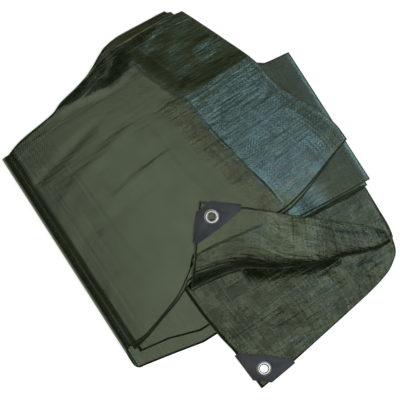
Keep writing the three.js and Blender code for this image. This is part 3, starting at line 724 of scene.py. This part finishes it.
middle_row = EXTRA_ROWS + BUNDLE_ROWS // 2
column_gaps = np.linalg.norm(np.diff(cloth_grid[:, middle_row], axis=0), axis=-1)
path = np.concatenate([[0], np.cumsum(column_gaps)])
row_gaps = np.nan_to_num(np.linalg.norm(np.diff(cloth_grid, axis=1), axis=-1))
length = np.concatenate([np.zeros((len(path), 1)), np.cumsum(row_gaps, axis=1)], axis=1)
row_place = length - length[:, middle_row, None] + cloth_grid[:, middle_row, 1, None]
present = ~np.isnan(cloth_grid[..., 0])

# distance from the nearest hemmed edge: the two ends of each column, the sheet's sides, the flap's side
hem_distance = np.minimum(length, length[:, -1:] - length)
for i in range(1, len(path)):
    if present[i].any() and not present[i, 0] and present[i, ROLL_END] and not present[i, ROLL_END - 1]:
        hem_distance[i] = hem_distance[i - 1]
cut_column = 2 * FINE + FOLD_STEPS
hem_distance = np.minimum(hem_distance, np.minimum(path, path[-1] - path)[:, None])
flap_side = np.abs(path - path[cut_column])[:, None]
flap_area = (np.arange(hem_distance.shape[1]) < ROLL_END)[None, :]
hem_distance = np.where(flap_area, np.minimum(hem_distance, flap_side), hem_distance)
print("the sheet unfolds to", path[-1].round(), "mm across the folds")

# %% [markdown]
# The material reads four vertex attributes. One is wear, as the coating whitens a little along folds
# and hem edges. One is the distance from the hemmed edge. One says how crinkled the cloth is: most
# beside the long crease, on the slope past the far end crease and on the opened-out corners. The last
# says where the painted glints go: lighter brown flecks that stand in for highlights on the crinkles
# beside the long crease. They could be painted by hand, but worked out from the shape they follow
# every change of it.

# %% How crinkled the cloth is
# how crinkled each zone is, where 0 is smooth; the bundle's other plies are "inside"
CRINKLE = dict(
    panel=0.09, band=0.17, far_band=0.16, by_crease=0.38, past_end=0.4, inside=0.1, table=0.6, flap=0.45,
)
# where each zone starts, and how far it takes to ease in
ZONES = dict(
    top=(-3, 1.5), cover=(-6, 6), band=(0, 8), by_crease=(-48, 30), before_far=(-160, 30),
    past_end=(-12, 14), past_crossing=(-4, 30), flap=(22, 6),
)


def zone(key, value):
    start, reach = ZONES[key]
    return ease((value - start) / reach)


def crinkle_of(grid):
    """How crinkled each point is, and where the painted glints go beside the long crease."""
    x, y, z = (np.nan_to_num(grid[..., k] - (*PLAN_SHIFT, 0)[k]) for k in range(3))
    side = x - RIDGE(y)
    on_cover = zone("top", z - cover_height(x, y)) * zone("cover", y - COVER_NEAR(x))
    band = zone("band", side)
    by_crease = zone("by_crease", side) * (1 - band) * zone("before_far", -y)
    past_crossing = zone("past_crossing", y - CROSS_CREASE_Y)
    in_band = band * mix(CRINKLE["band"], CRINKLE["far_band"], past_crossing)
    past_end = CRINKLE["past_end"] * zone("past_end", y - END_CREASE(x))
    cover = np.maximum(np.maximum(in_band, CRINKLE["by_crease"] * by_crease), past_end)
    opened = (np.arange(grid.shape[1]) < EXTRA_ROWS)[None, :]
    plain = np.where(opened, mix(CRINKLE["table"], CRINKLE["flap"], zone("flap", z)), CRINKLE["inside"])
    # the second value places the painted glints: flecks that stand in for highlights beside the long crease
    return mix(plain, CRINKLE["panel"] + cover, on_cover), by_crease * on_cover


crinkle, painted_glints = crinkle_of(cloth_grid)
print("crinkle runs from", round(crinkle[present].min(), 2), "to", round(crinkle[present].max(), 2))

# %% Sheet mesh
HOLE_CLEAR = 7.2
HOLE_DEPTH = 6
FOLD_WEAR_WIDTH = 3.0
HEM_WEAR, HEM_WEAR_WIDTH = 0.2, 2.0


def fold_wear(path, marks):
    near = np.exp(-(((path[:, None] - path[None, :]) / FOLD_WEAR_WIDTH) ** 2)) * marks[None, :]
    return near.max(axis=1)


def sheet_mesh(name, grid, uv, attributes, half):
    normal = grid_normals(grid)
    cell = present[:-1, :-1] & present[1:, :-1] & present[:-1, 1:] & present[1:, 1:]
    for node in ("eyelet_lower", "eyelet_upper"):
        at = middle(node)
        away = np.hypot(grid[..., 0] - at[0], grid[..., 1] - at[1])
        hole = (away < HOLE_CLEAR) & (np.abs(grid[..., 2] - at[2]) < HOLE_DEPTH)
        cell &= ~(hole[:-1, :-1] | hole[1:, :-1] | hole[:-1, 1:] | hole[1:, 1:])
    used = np.zeros(grid.shape[:2], bool)
    for di, dj in ((0, 0), (1, 0), (0, 1), (1, 1)):
        used[di : used.shape[0] - 1 + di, dj : used.shape[1] - 1 + dj] |= cell
    index = np.full(used.shape, -1)
    index[used] = np.arange(used.sum())
    upper, lower = grid[used] + normal[used] * half, grid[used] - normal[used] * half
    points = np.stack([upper, lower], axis=1).reshape(-1, 3) * MM

    i, j = np.nonzero(cell)
    a, b, c, d = (2 * index[i, j], 2 * index[i + 1, j], 2 * index[i + 1, j + 1], 2 * index[i, j + 1])
    faces = [np.stack([a, b, c, d], axis=1), np.stack([a, d, c, b], axis=1) + 1]
    framed = np.pad(cell, 1)
    rims = []
    for step, start, end in (((0, -1), a, b), ((1, 0), b, c), ((0, 1), c, d), ((-1, 0), d, a)):
        free = ~framed[i + 1 + step[0], j + 1 + step[1]]
        start, end = start[free], end[free]
        rims.append(np.stack([start, start + 1, end + 1, end], axis=1))
    body_count = sum(len(f) for f in faces)
    faces = np.concatenate(faces + rims)

    mesh = bpy.data.meshes.new(name)
    mesh.from_pydata(points.tolist(), [], faces.tolist())
    smooth = np.ones(len(faces), bool)
    smooth[body_count:] = False
    mesh.polygons.foreach_set("use_smooth", smooth)
    corner_vertex = np.zeros(len(mesh.loops), int)
    mesh.loops.foreach_get("vertex_index", corner_vertex)
    uv_layer = mesh.uv_layers.new(name="cloth")
    uv_layer.data.foreach_set("uv", np.repeat(uv[used], 2, axis=0)[corner_vertex].ravel())
    for key, value in attributes.items():
        layer = mesh.attributes.new(key, "FLOAT", "POINT")
        layer.data.foreach_set("value", np.repeat(value[used], 2).astype(np.float32))
    mesh.validate()
    piece = bpy.data.objects.new(name, mesh)
    bpy.context.scene.collection.objects.link(piece)
    return piece


cloth_uv = np.stack([np.broadcast_to(path[:, None], row_place.shape), row_place], axis=-1) * MM
hem_wear = HEM_WEAR * np.exp(-((hem_distance / HEM_WEAR_WIDTH) ** 2))
wear = np.maximum(fold_wear(path, fold_mark)[:, None], hem_wear)
# the last attribute places the painted glints, brown flecks standing in for highlights beside the long
# crease
marks = {"wear": wear, "hem": hem_distance, "crinkle": crinkle, "painted_glints": painted_glints}
tarp = sheet_mesh("tarp_sheet", cloth_grid, cloth_uv, marks, HALF_CLOTH)
triangles = sum(len(p.vertices) - 2 for p in tarp.data.polygons)
area = sum(p.area for p in tarp.data.polygons) / 2
print("sheet:", triangles, "triangles,", round(area, 3), "m2 of cloth")

# %% [markdown]
# ## Corner patches
#
# A corner patch is two moulded plastic plates clamped over the cloth's corner. Its tip is cut away,
# so the green corner of the cloth shows beyond it. The patch is made as it would be machined: a plate
# with the outline, less a pocket for the cloth, less a drill for the eyelet. A narrow bevel then
# rounds its edges, because no moulded edge is sharp, and a rounded edge is what catches the light.

# %% Corner patches
UPPER_CORNER_Z = 38.4
PATCH_LEG = 64.0
PATCH_TIP_CUT = 18.0
PATCH_OVERHANG = 3.0
PATCH_WALL = 1.2
PATCH_FACE = 1.0
PATCH_PLATE = 0.7
PATCH_BOW = 1.6
DRILL_R, DRILL_DEPTH, DRILL_SIDES = 6.9, 12, 64
EDGE_BEVEL, SHARP_ANGLE = 0.25, 40
CORNERS = {
    "lower": (LOWER_TIP, LOWER_HEM_WAY, LOWER_SIDE_WAY, LOWER_CORNER_Z),
    "upper": (UPPER_TIP, UPPER_HEM_WAY, UPPER_SIDE_WAY, UPPER_CORNER_Z),
}


def corner_point(corner, along_hem, along_side, z):
    tip, hem_way, side_way, level = corner
    x, y = tip + hem_way * along_hem + side_way * along_side + PLAN_SHIFT
    return Vector((x, y, level + z)) * MM


def new_piece(name, bm):
    mesh = bpy.data.meshes.new(name)
    bmesh.ops.recalc_face_normals(bm, faces=bm.faces)
    bm.to_mesh(mesh)
    bm.free()
    piece = bpy.data.objects.new(name, mesh)
    bpy.context.scene.collection.objects.link(piece)
    return piece


def plate(name, corner, outline, low, high):
    """A level plate, its outline given in lengths along the corner's hem and side."""
    bm = bmesh.new()
    face = bm.faces.new([bm.verts.new(corner_point(corner, hem, side, low)) for hem, side in outline])
    lifted = bmesh.ops.extrude_face_region(bm, geom=[face])["geom"]
    top = [v for v in lifted if isinstance(v, bmesh.types.BMVert)]
    bmesh.ops.translate(bm, verts=top, vec=(0, 0, (high - low) * MM))
    return new_piece(name, bm)


def drill(name, corner):
    at = corner_point(corner, EYELET_INSET, EYELET_INSET, 0)
    bm = bmesh.new()
    size = dict(radius1=DRILL_R * MM, radius2=DRILL_R * MM, depth=DRILL_DEPTH * MM)
    bmesh.ops.create_cone(bm, cap_ends=True, segments=DRILL_SIDES, **size)
    bmesh.ops.translate(bm, verts=bm.verts, vec=at)
    return new_piece(name, bm)


def settle(piece):
    """Turns a piece with modifiers into a plain mesh, and drops the modifiers."""
    depsgraph = bpy.context.evaluated_depsgraph_get()
    mesh = bpy.data.meshes.new_from_object(piece.evaluated_get(depsgraph))
    piece.modifiers.clear()
    piece.data = mesh


def corner_patch(name, corner):
    edge, inside, far = -PATCH_OVERHANG, -PATCH_OVERHANG + PATCH_WALL, 2 * PATCH_LEG
    short = PATCH_OVERHANG + 1
    halfway = (PATCH_LEG + short) / 2 + PATCH_BOW * math.sqrt(0.5)
    outline = [
        (PATCH_TIP_CUT, edge), (PATCH_LEG, edge), (PATCH_LEG, short), (halfway, halfway),
        (short, PATCH_LEG), (edge, PATCH_LEG), (edge, PATCH_TIP_CUT),
    ]
    pocket = [(inside, inside), (far, inside), (far, far), (inside, far)]
    face = PATCH_FACE + PATCH_PLATE
    piece = plate(name, corner, outline, -face, face)
    tools = [plate("pocket", corner, pocket, -PATCH_FACE, PATCH_FACE), drill("drill", corner)]
    for tool in tools:
        cut = piece.modifiers.new("cut", "BOOLEAN")
        cut.operation, cut.object, cut.solver = "DIFFERENCE", tool, "EXACT"
    rounding = piece.modifiers.new("rounding", "BEVEL")
    rounding.width, rounding.segments, rounding.limit_method = EDGE_BEVEL * MM, 2, "ANGLE"
    settle(piece)
    for tool in tools:
        bpy.data.objects.remove(tool)
    piece.data.shade_smooth()
    piece.data.set_sharp_from_angle(angle=math.radians(SHARP_ANGLE))
    return piece


patches = {place: corner_patch("patch_" + place, corner) for place, corner in CORNERS.items()}
print("patch faces:", {place: len(piece.data.polygons) for place, piece in patches.items()})

# %% [markdown]
# ## Eyelets and washers
#
# An eyelet is pressed from sheet metal: a domed flange, a neck through the cloth, and the neck's end
# curled out over a flat washer. All four rings are the same kind of thing, a profile carried round a
# circle, so one Geometry Nodes tree makes them. It takes the profile as a line of edges, and its
# inputs set the circle, its sides, its place and its material. Lathing by hand would need four copies
# of one loop.

# %% The ring tree
RING_INPUTS = {
    "Profile": "Geometry", "Circle Radius": "Float", "Sides": "Int", "Place": "Vector", "Metal": "Material",
}
RING_NODES = dict(
    given="NodeGroupInput", profile="GeometryNodeMeshToCurve", circle="GeometryNodeCurvePrimitiveCircle",
    sweep="GeometryNodeCurveToMesh", smooth="GeometryNodeSetShadeSmooth", place="GeometryNodeTransform",
    metal="GeometryNodeSetMaterial", made="NodeGroupOutput",
)
# from a node's output to a node's input, in the order in which the ring is made
RING_LINKS = [
    ("given", "Profile", "profile", "Mesh"),
    ("given", "Circle Radius", "circle", "Radius"),
    ("given", "Sides", "circle", "Resolution"),
    ("circle", "Curve", "sweep", "Curve"),
    ("profile", "Curve", "sweep", "Profile Curve"),
    ("sweep", "Mesh", "smooth", "Geometry"),
    ("smooth", "Geometry", "place", "Geometry"),
    ("given", "Place", "place", "Translation"),
    ("place", "Geometry", "metal", "Geometry"),
    ("given", "Metal", "metal", "Material"),
    ("metal", "Geometry", "made", "Ring"),
]


def ring_tree():
    tree = bpy.data.node_groups.new("ring from a profile", "GeometryNodeTree")
    for name, kind in RING_INPUTS.items():
        tree.interface.new_socket(name, in_out="INPUT", socket_type="NodeSocket" + kind)
    tree.interface.new_socket("Ring", in_out="OUTPUT", socket_type="NodeSocketGeometry")
    nodes = {key: tree.nodes.new(kind) for key, kind in RING_NODES.items()}
    for source, output, target, socket in RING_LINKS:
        tree.links.new(nodes[source].outputs[output], nodes[target].inputs[socket])
    return tree


RING_TREE = ring_tree()
print("ring tree has", len(RING_TREE.nodes), "nodes")

# %% [markdown]
# The profiles are the frame's own, with rounder shoulders. Each is a closed line of points: the
# distance from the hole's axis and the height over the corner's middle.

# %% Rings
HOLE_R, NECK_R, FLANGE_R = 5.75, 6.4, 11.25
WASHER_PLATE = 0.7
UNDER = PATCH_FACE + PATCH_PLATE + 0.3
CURL_TOP = -UNDER - WASHER_PLATE - 0.3
RING_SIDES = 64
EYELET_PROFILE = [
    (HOLE_R, UNDER), (HOLE_R, CURL_TOP - 0.3), (HOLE_R + 0.15, CURL_TOP - 0.6),
    (NECK_R - 0.2, CURL_TOP - 0.8), (NECK_R + 1.5, CURL_TOP - 0.8), (NECK_R + 2.0, CURL_TOP - 0.6),
    (NECK_R + 2.15, CURL_TOP - 0.3), (NECK_R + 2.0, CURL_TOP), (NECK_R, CURL_TOP), (NECK_R, UNDER),
    (FLANGE_R - 0.2, UNDER),
    (FLANGE_R, UNDER + 0.15), (FLANGE_R - 0.1, UNDER + 0.4), (FLANGE_R - 0.7, UNDER + 0.8),
    (FLANGE_R - 1.8, UNDER + 1.25), (FLANGE_R - 3.0, UNDER + 1.5), (HOLE_R + 1.8, UNDER + 1.45),
    (HOLE_R + 0.9, UNDER + 1.15), (HOLE_R + 0.3, UNDER + 0.6),
]
WASHER_TOP = -UNDER
WASHER_PROFILE = [
    (NECK_R + 0.3, WASHER_TOP), (NECK_R + 0.3, WASHER_TOP - WASHER_PLATE),
    (FLANGE_R - 1.1, WASHER_TOP - WASHER_PLATE), (FLANGE_R - 0.8, WASHER_TOP - WASHER_PLATE + 0.2),
    (FLANGE_R - 0.8, WASHER_TOP - 0.2), (FLANGE_R - 1.1, WASHER_TOP),
]


def ring(name, profile, corner, metal):
    bm = bmesh.new()
    # the sweep carries a profile's own X outwards and its own Y down
    points = [bm.verts.new(((r - FLANGE_R) * MM, -z * MM, 0)) for r, z in profile]
    for k, point in enumerate(points):
        bm.edges.new((point, points[k - 1]))
    piece = new_piece(name, bm)
    nodes = piece.modifiers.new("ring", "NODES")
    nodes.node_group = RING_TREE
    at = corner_point(corner, EYELET_INSET, EYELET_INSET, 0)
    wanted = {"Circle Radius": FLANGE_R * MM, "Sides": RING_SIDES, "Place": tuple(at), "Metal": metal}
    for socket in RING_TREE.interface.items_tree:
        if socket.in_out == "INPUT" and socket.name in wanted:
            nodes[socket.identifier] = wanted[socket.name]
    settle(piece)
    bm = bmesh.new()
    bm.from_mesh(piece.data)
    bmesh.ops.remove_doubles(bm, verts=bm.verts, dist=0.001 * MM)
    bmesh.ops.recalc_face_normals(bm, faces=bm.faces)
    bm.to_mesh(piece.data)
    bm.free()
    return piece

# %% [markdown]
# ## The cloth's finish
#
# The cloth is woven from flat plastic tapes about 2.4 mm wide and coated with clear plastic. That
# gives five things to show: the weave as a fine relief, small crinkles where the coating has been
# creased, dull patches and a pale powder that come with them, uneven greens with lighter brown flecks
# beside the long crease that are painted glints standing in for highlights on its crinkles, and a
# gloss over all of it. The gloss is the base layer's own, because a coat layer would lie smooth over
# the crinkles. All patterns read the UV map, so they follow the cloth. An image of real cloth could
# give the same, but a pattern made of nodes stays sharp at any distance and can be tuned tape by tape.

# %% Helpers for materials
def new_material(name):
    material = bpy.data.materials.new(name)
    material.use_nodes = True
    return material, material.node_tree, material.node_tree.nodes["Principled BSDF"]


def add_node(tree, kind, inputs=(), **settings):
    """Adds a node, sets its properties, then fills or links its inputs by name or number."""
    node = tree.nodes.new("ShaderNode" + kind)
    for key, value in settings.items():
        setattr(node, key, value)
    for key, value in dict(inputs).items():
        if isinstance(value, bpy.types.NodeSocket):
            tree.links.new(value, node.inputs[key])
        else:
            node.inputs[key].default_value = value
    return node


def maths(tree, operation, *values):
    node = add_node(tree, "Math", dict(enumerate(values)), operation=operation)
    return node.outputs[0]


def times(tree, first, second):
    return maths(tree, "MULTIPLY", first, second)


def weighted(tree, *terms):
    """Sum of (value, weight) terms."""
    parts = [times(tree, *term) for term in terms]
    return functools.reduce(lambda total, part: maths(tree, "ADD", total, part), parts)


def noise(tree, vector, scale, detail=2.0, roughness=0.5):
    inputs = {"Vector": vector, "Scale": scale, "Detail": detail, "Roughness": roughness}
    return add_node(tree, "TexNoise", inputs).outputs["Fac"]


def stretched(tree, vector, u, v):
    return add_node(tree, "Mapping", {"Vector": vector, "Scale": (u, v, 1.0)}).outputs["Vector"]


def spread(tree, value, low, high, to_low=0.0, to_high=1.0):
    """A value between low and high, spread over a new range and held inside it."""
    inputs = {"Value": value, "From Min": low, "From Max": high, "To Min": to_low, "To Max": to_high}
    return add_node(tree, "MapRange", inputs).outputs["Result"]


def blend_colours(tree, factor, first, second):
    inputs = {"Factor": factor, 6: first, 7: second}
    return add_node(tree, "Mix", inputs, data_type="RGBA").outputs[2]


def bump(tree, height, distance, strength, normal=None):
    inputs = {"Height": height, "Distance": distance, "Strength": strength}
    if normal is not None:
        inputs["Normal"] = normal
    return add_node(tree, "Bump", inputs).outputs["Normal"]


print("material helpers ready")

# %% Woven coated cloth
TAPE = 0.0024
HEM_LINE = (17.0, 18.5)
RELIEF_DEPTH, HEM_DEPTH, WEAVE_DEPTH = 0.0013, 0.0004, 0.0002
SHINE, DULLING = 0.95, 0.65
POWDER = 0.16
DEEP_GREEN = (0.007, 0.014, 0.003, 1)
OLIVE = (0.016, 0.022, 0.006, 1)
DUSTY_GREEN = (0.16, 0.19, 0.12, 1)
# colour of the painted glints: brown flecks that stand in for highlights on the crinkles beside the long
# crease
PAINTED_GLINT_BROWN = (0.060, 0.046, 0.018, 1)
GREEN_SHINE = (0.87, 1.0, 0.72, 1)


def weave(tree, cloth):
    """Plain weave: its height, and a random number for the tape that lies on top at each point."""
    split = add_node(tree, "SeparateXYZ", {"Vector": cloth})
    at = [maths(tree, "DIVIDE", split.outputs[k], TAPE) for k in (0, 1)]
    number = [maths(tree, "FLOOR", value) for value in at]
    middle_of = [maths(tree, "SUBTRACT", maths(tree, "FRACT", value), 0.5) for value in at]
    waves = [maths(tree, "SINE", times(tree, value, math.pi)) for value in at]
    edges = [maths(tree, "POWER", maths(tree, "ABSOLUTE", wave), 0.4) for wave in waves]
    dice = [add_node(tree, "TexWhiteNoise", {"W": n}, noise_dimensions="1D") for n in number]
    lot = [die.outputs["Value"] for die in dice]
    lean = [times(tree, m, maths(tree, "SUBTRACT", r, 0.5)) for m, r in zip(middle_of, lot)]
    over = maths(tree, "FLOORED_MODULO", maths(tree, "ADD", *number), 2.0)
    tape, tilt = (
        add_node(tree, "Mix", {"Factor": over, "A": a, "B": b}).outputs["Result"] for a, b in (lot, lean)
    )
    crossing, gap = times(tree, *waves), maths(tree, "MINIMUM", *edges)
    return weighted(tree, (crossing, 0.15), (gap, 0.2), (tilt, 0.9)), tape


def cloth_colour(tree, cloth, tape, worn, painted_glints, powder):
    """Deep green to olive, with lighter brown flecks painted as highlights beside the long crease, and
    paler where worn or powdery.
    """
    tone = maths(tree, "ADD", noise(tree, cloth, 9.0, 4.0, 0.6), times(tree, tape, 0.12))
    green = blend_colours(tree, spread(tree, tone, 0.38, 0.74), DEEP_GREEN, OLIVE)
    flecks = spread(tree, noise(tree, cloth, 160.0, 3.0, 0.7), 0.42, 0.62)
    # painted highlights: lighter brown flecks on the crinkles beside the long crease
    green = blend_colours(tree, times(tree, painted_glints, flecks), green, PAINTED_GLINT_BROWN)
    scuffs = noise(tree, stretched(tree, cloth, 60.0, 160.0), 1.0, 3.0, 0.7)
    whitened = times(tree, worn, spread(tree, scuffs, 0.4, 0.75, 0.1, 0.6))
    return blend_colours(tree, maths(tree, "MAXIMUM", whitened, powder), green, DUSTY_GREEN)


def crinkle_relief(tree, cloth, threads, crinkled):
    """Swells, ripples and cracks of the coating where it is crinkled, and faint threads all over."""
    swell = noise(tree, stretched(tree, cloth, 26.0, 60.0), 1.0, 2.0)
    ripple = noise(tree, stretched(tree, cloth, 42.0, 175.0), 1.0, 3.0, 0.6)
    crackle = noise(tree, cloth, 110.0, 4.0, 0.7)
    crackle = maths(tree, "ABSOLUTE", maths(tree, "SUBTRACT", crackle, 0.5))
    relief = weighted(tree, (ripple, 1.3), (crackle, 0.7), (swell, 0.9), (threads, 0.6))
    return weighted(tree, (relief, crinkled), (threads, 0.035))


def cloth_material():
    material, tree, shader = new_material("woven green cloth")
    cloth = add_node(tree, "UVMap", uv_map="cloth").outputs["UV"]
    worn, hem, crinkled, painted_glints = (
        add_node(tree, "Attribute", attribute_name=key).outputs["Fac"] for key in marks
    )
    woven, tape = weave(tree, cloth)
    ways = [noise(tree, stretched(tree, cloth, u, v), 1.0, 2.0) for u, v in ((6.0, 220.0), (220.0, 6.0))]
    threads = maths(tree, "ADD", *ways)
    patchy = maths(tree, "ADD", noise(tree, cloth, 34.0, 4.0, 0.65), times(tree, threads, 0.34))
    patchy = spread(tree, patchy, 0.74, 0.98)
    powder = times(tree, times(tree, crinkled, patchy), POWDER)
    colour = cloth_colour(tree, cloth, tape, worn, painted_glints, powder)
    tree.links.new(colour, shader.inputs["Base Color"])

    gloss = maths(tree, "ADD", noise(tree, cloth, 40.0, 3.0), times(tree, tape, 0.25))
    tree.links.new(spread(tree, gloss, 0.4, 0.9, 0.13, 0.22), shader.inputs["Roughness"])
    dull = times(tree, crinkled, maths(tree, "SUBTRACT", 1.0, patchy))
    shine = maths(tree, "SUBTRACT", SHINE, times(tree, dull, DULLING))
    tree.links.new(shine, shader.inputs["Specular IOR Level"])
    shader.inputs["Specular Tint"].default_value = GREEN_SHINE

    normal = bump(tree, crinkle_relief(tree, cloth, threads, crinkled), RELIEF_DEPTH, 1.0)
    normal = bump(tree, spread(tree, hem, *HEM_LINE, 1.0, 0.0), HEM_DEPTH, 0.4, normal)
    tree.links.new(bump(tree, woven, WEAVE_DEPTH, 1.0, normal), shader.inputs["Normal"])
    return material


tarp.data.materials.append(cloth_material())
print("cloth material has", len(tarp.data.materials[0].node_tree.nodes), "nodes")

# %% [markdown]
# ## Moulded plastic and pressed metal
#
# The patches are matt blue-grey plastic with the faint grain of a mould. The eyelets are bright
# pressed metal: nearly smooth, with a few dull spots. One colour for each would look like a toy's, so
# both colours and the roughness vary a little from spot to spot.

# %% Patch plastic and eyelet metal
SLATE = (0.060, 0.064, 0.072, 1)
PALE_SLATE = (0.082, 0.086, 0.096, 1)
BRIGHT_METAL = (0.78, 0.77, 0.75, 1)
DULL_METAL = (0.66, 0.65, 0.64, 1)


def plastic_material():
    material, tree, shader = new_material("moulded slate plastic")
    place = add_node(tree, "TexCoord").outputs["Object"]
    cloudy = noise(tree, place, 60.0, 3.0)
    patchy, grain = noise(tree, place, 300.0), noise(tree, place, 1500.0)
    colour = blend_colours(tree, spread(tree, cloudy, 0.35, 0.65), SLATE, PALE_SLATE)
    tree.links.new(colour, shader.inputs["Base Color"])
    tree.links.new(spread(tree, patchy, 0.3, 0.7, 0.42, 0.56), shader.inputs["Roughness"])
    tree.links.new(bump(tree, grain, 0.0002, 0.3), shader.inputs["Normal"])
    return material


def metal_material():
    material, tree, shader = new_material("bright pressed metal")
    spots = noise(tree, add_node(tree, "TexCoord").outputs["Object"], 700.0, 3.0)
    colour = blend_colours(tree, spread(tree, spots, 0.3, 0.7), BRIGHT_METAL, DULL_METAL)
    tree.links.new(colour, shader.inputs["Base Color"])
    shader.inputs["Metallic"].default_value = 1.0
    tree.links.new(spread(tree, spots, 0.3, 0.7, 0.24, 0.38), shader.inputs["Roughness"])
    tree.links.new(bump(tree, spots, 0.0001, 0.2), shader.inputs["Normal"])
    return material


PLASTIC = plastic_material()
METAL = metal_material()
for piece in patches.values():
    piece.data.materials.append(PLASTIC)
rings = {}
for place, corner in CORNERS.items():
    rings["eyelet_" + place] = ring("ring_" + place, EYELET_PROFILE, corner, METAL)
    rings["eyelet_washer_" + place] = ring("washer_" + place, WASHER_PROFILE, corner, METAL)

# %% [markdown]
# ## Floor and light
#
# A glossy cloth shows its lights, so they are placed by what each slope mirrors. A soft panel overhead
# shows in all that lies level. A nearer one stands out to the side for the flap, which leans that way.
# A small bluish one, like a patch of sky, shows in the band that falls away from the long crease, and
# a dim yellowish one over the far side in what leans that way. The light from all round stays low
# and comes mostly from the far side. One even light would be simpler, but every slope would mirror
# the same. The white floor glows a little, as a light table does, and keeps the shadows pale.

# %% Floor
def floor_material():
    material, tree, shader = new_material("white floor")
    place = add_node(tree, "TexCoord").outputs["Object"]
    cloudy = noise(tree, place, 3.0)
    colour = blend_colours(tree, cloudy, (0.86, 0.86, 0.86, 1), (0.88, 0.88, 0.88, 1))
    tree.links.new(colour, shader.inputs["Base Color"])
    shader.inputs["Roughness"].default_value = 0.9
    shader.inputs["Specular IOR Level"].default_value = 0.2
    shader.inputs["Emission Color"].default_value = (1.0, 1.0, 1.0, 1)
    shader.inputs["Emission Strength"].default_value = 0.8
    return material


bm = bmesh.new()
bmesh.ops.create_grid(bm, x_segments=1, y_segments=1, size=4)
floor = new_piece("floor", bm)
floor.data.materials.append(floor_material())
print("floor is", round(floor.dimensions.x), "m wide")

# %% Lights
LIGHT_HEIGHT = 2.5
# name, place over the floor, size, brightness and colour
LIGHTS = [
    ("overhead", (-0.21, -0.36), (0.86, 1.72), 1.65, (0.97, 1.0, 0.94)),
    ("overhead near", (0.785, -0.945), (0.73, 1.01), 3.6, (0.97, 1.0, 0.94)),
    ("far fill", (1.15, 0.83), (2.10, 0.98), 0.38, (0.97, 1.0, 0.66)),
    ("patch of sky", (0.92, 0.03), (0.34, 0.54), 11.4, (0.39, 0.62, 1.0)),
]
# the surround's strength: from and to a height or a direction, and the strength at each
FAR_SIDE = (0.35, 0.94, 0.0)
BY_HEIGHT = (0.25, 0.45, 1.1, 0.03)
BY_SIDE = (-0.9, 0.1, 0.1, 1.0)


def area_light(name, at, size, radiance, colour):
    """A rectangle of light that faces down, as bright per area as `radiance` says."""
    data = bpy.data.lights.new(name, "AREA")
    data.shape, data.size, data.size_y, data.color = "RECTANGLE", *size, colour
    data.energy = radiance * math.pi * size[0] * size[1]
    light = bpy.data.objects.new(name, data)
    light.location = (*at, LIGHT_HEIGHT)
    bpy.context.scene.collection.objects.link(light)


def surround():
    """Light from all round: low down, and strongest on the far side."""
    world = bpy.data.worlds.new("soft surround")
    world.use_nodes = True
    tree = world.node_tree
    way = add_node(tree, "TexCoord").outputs["Generated"]
    up = add_node(tree, "SeparateXYZ", {"Vector": way}).outputs["Z"]
    facing = add_node(tree, "VectorMath", {0: way, 1: FAR_SIDE}, operation="DOT_PRODUCT").outputs["Value"]
    strength = times(tree, spread(tree, up, *BY_HEIGHT), spread(tree, facing, *BY_SIDE))
    tree.links.new(strength, tree.nodes["Background"].inputs["Strength"])
    tree.nodes["Background"].inputs["Color"].default_value = (1.0, 0.99, 0.92, 1)
    bpy.context.scene.world = world


surround()
for light in LIGHTS:
    area_light(*light)
bpy.context.scene.view_settings.view_transform = "Standard"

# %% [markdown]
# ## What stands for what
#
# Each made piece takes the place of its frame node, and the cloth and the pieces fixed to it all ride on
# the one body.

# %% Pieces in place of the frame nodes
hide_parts("tarp")
for place, piece in patches.items():
    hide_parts("corner_patch_" + place)
for node, piece in rings.items():
    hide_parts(node)
fixed = [*patches.values(), *rings.values()]
for piece in [tarp, *fixed]:
    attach(piece, "root")
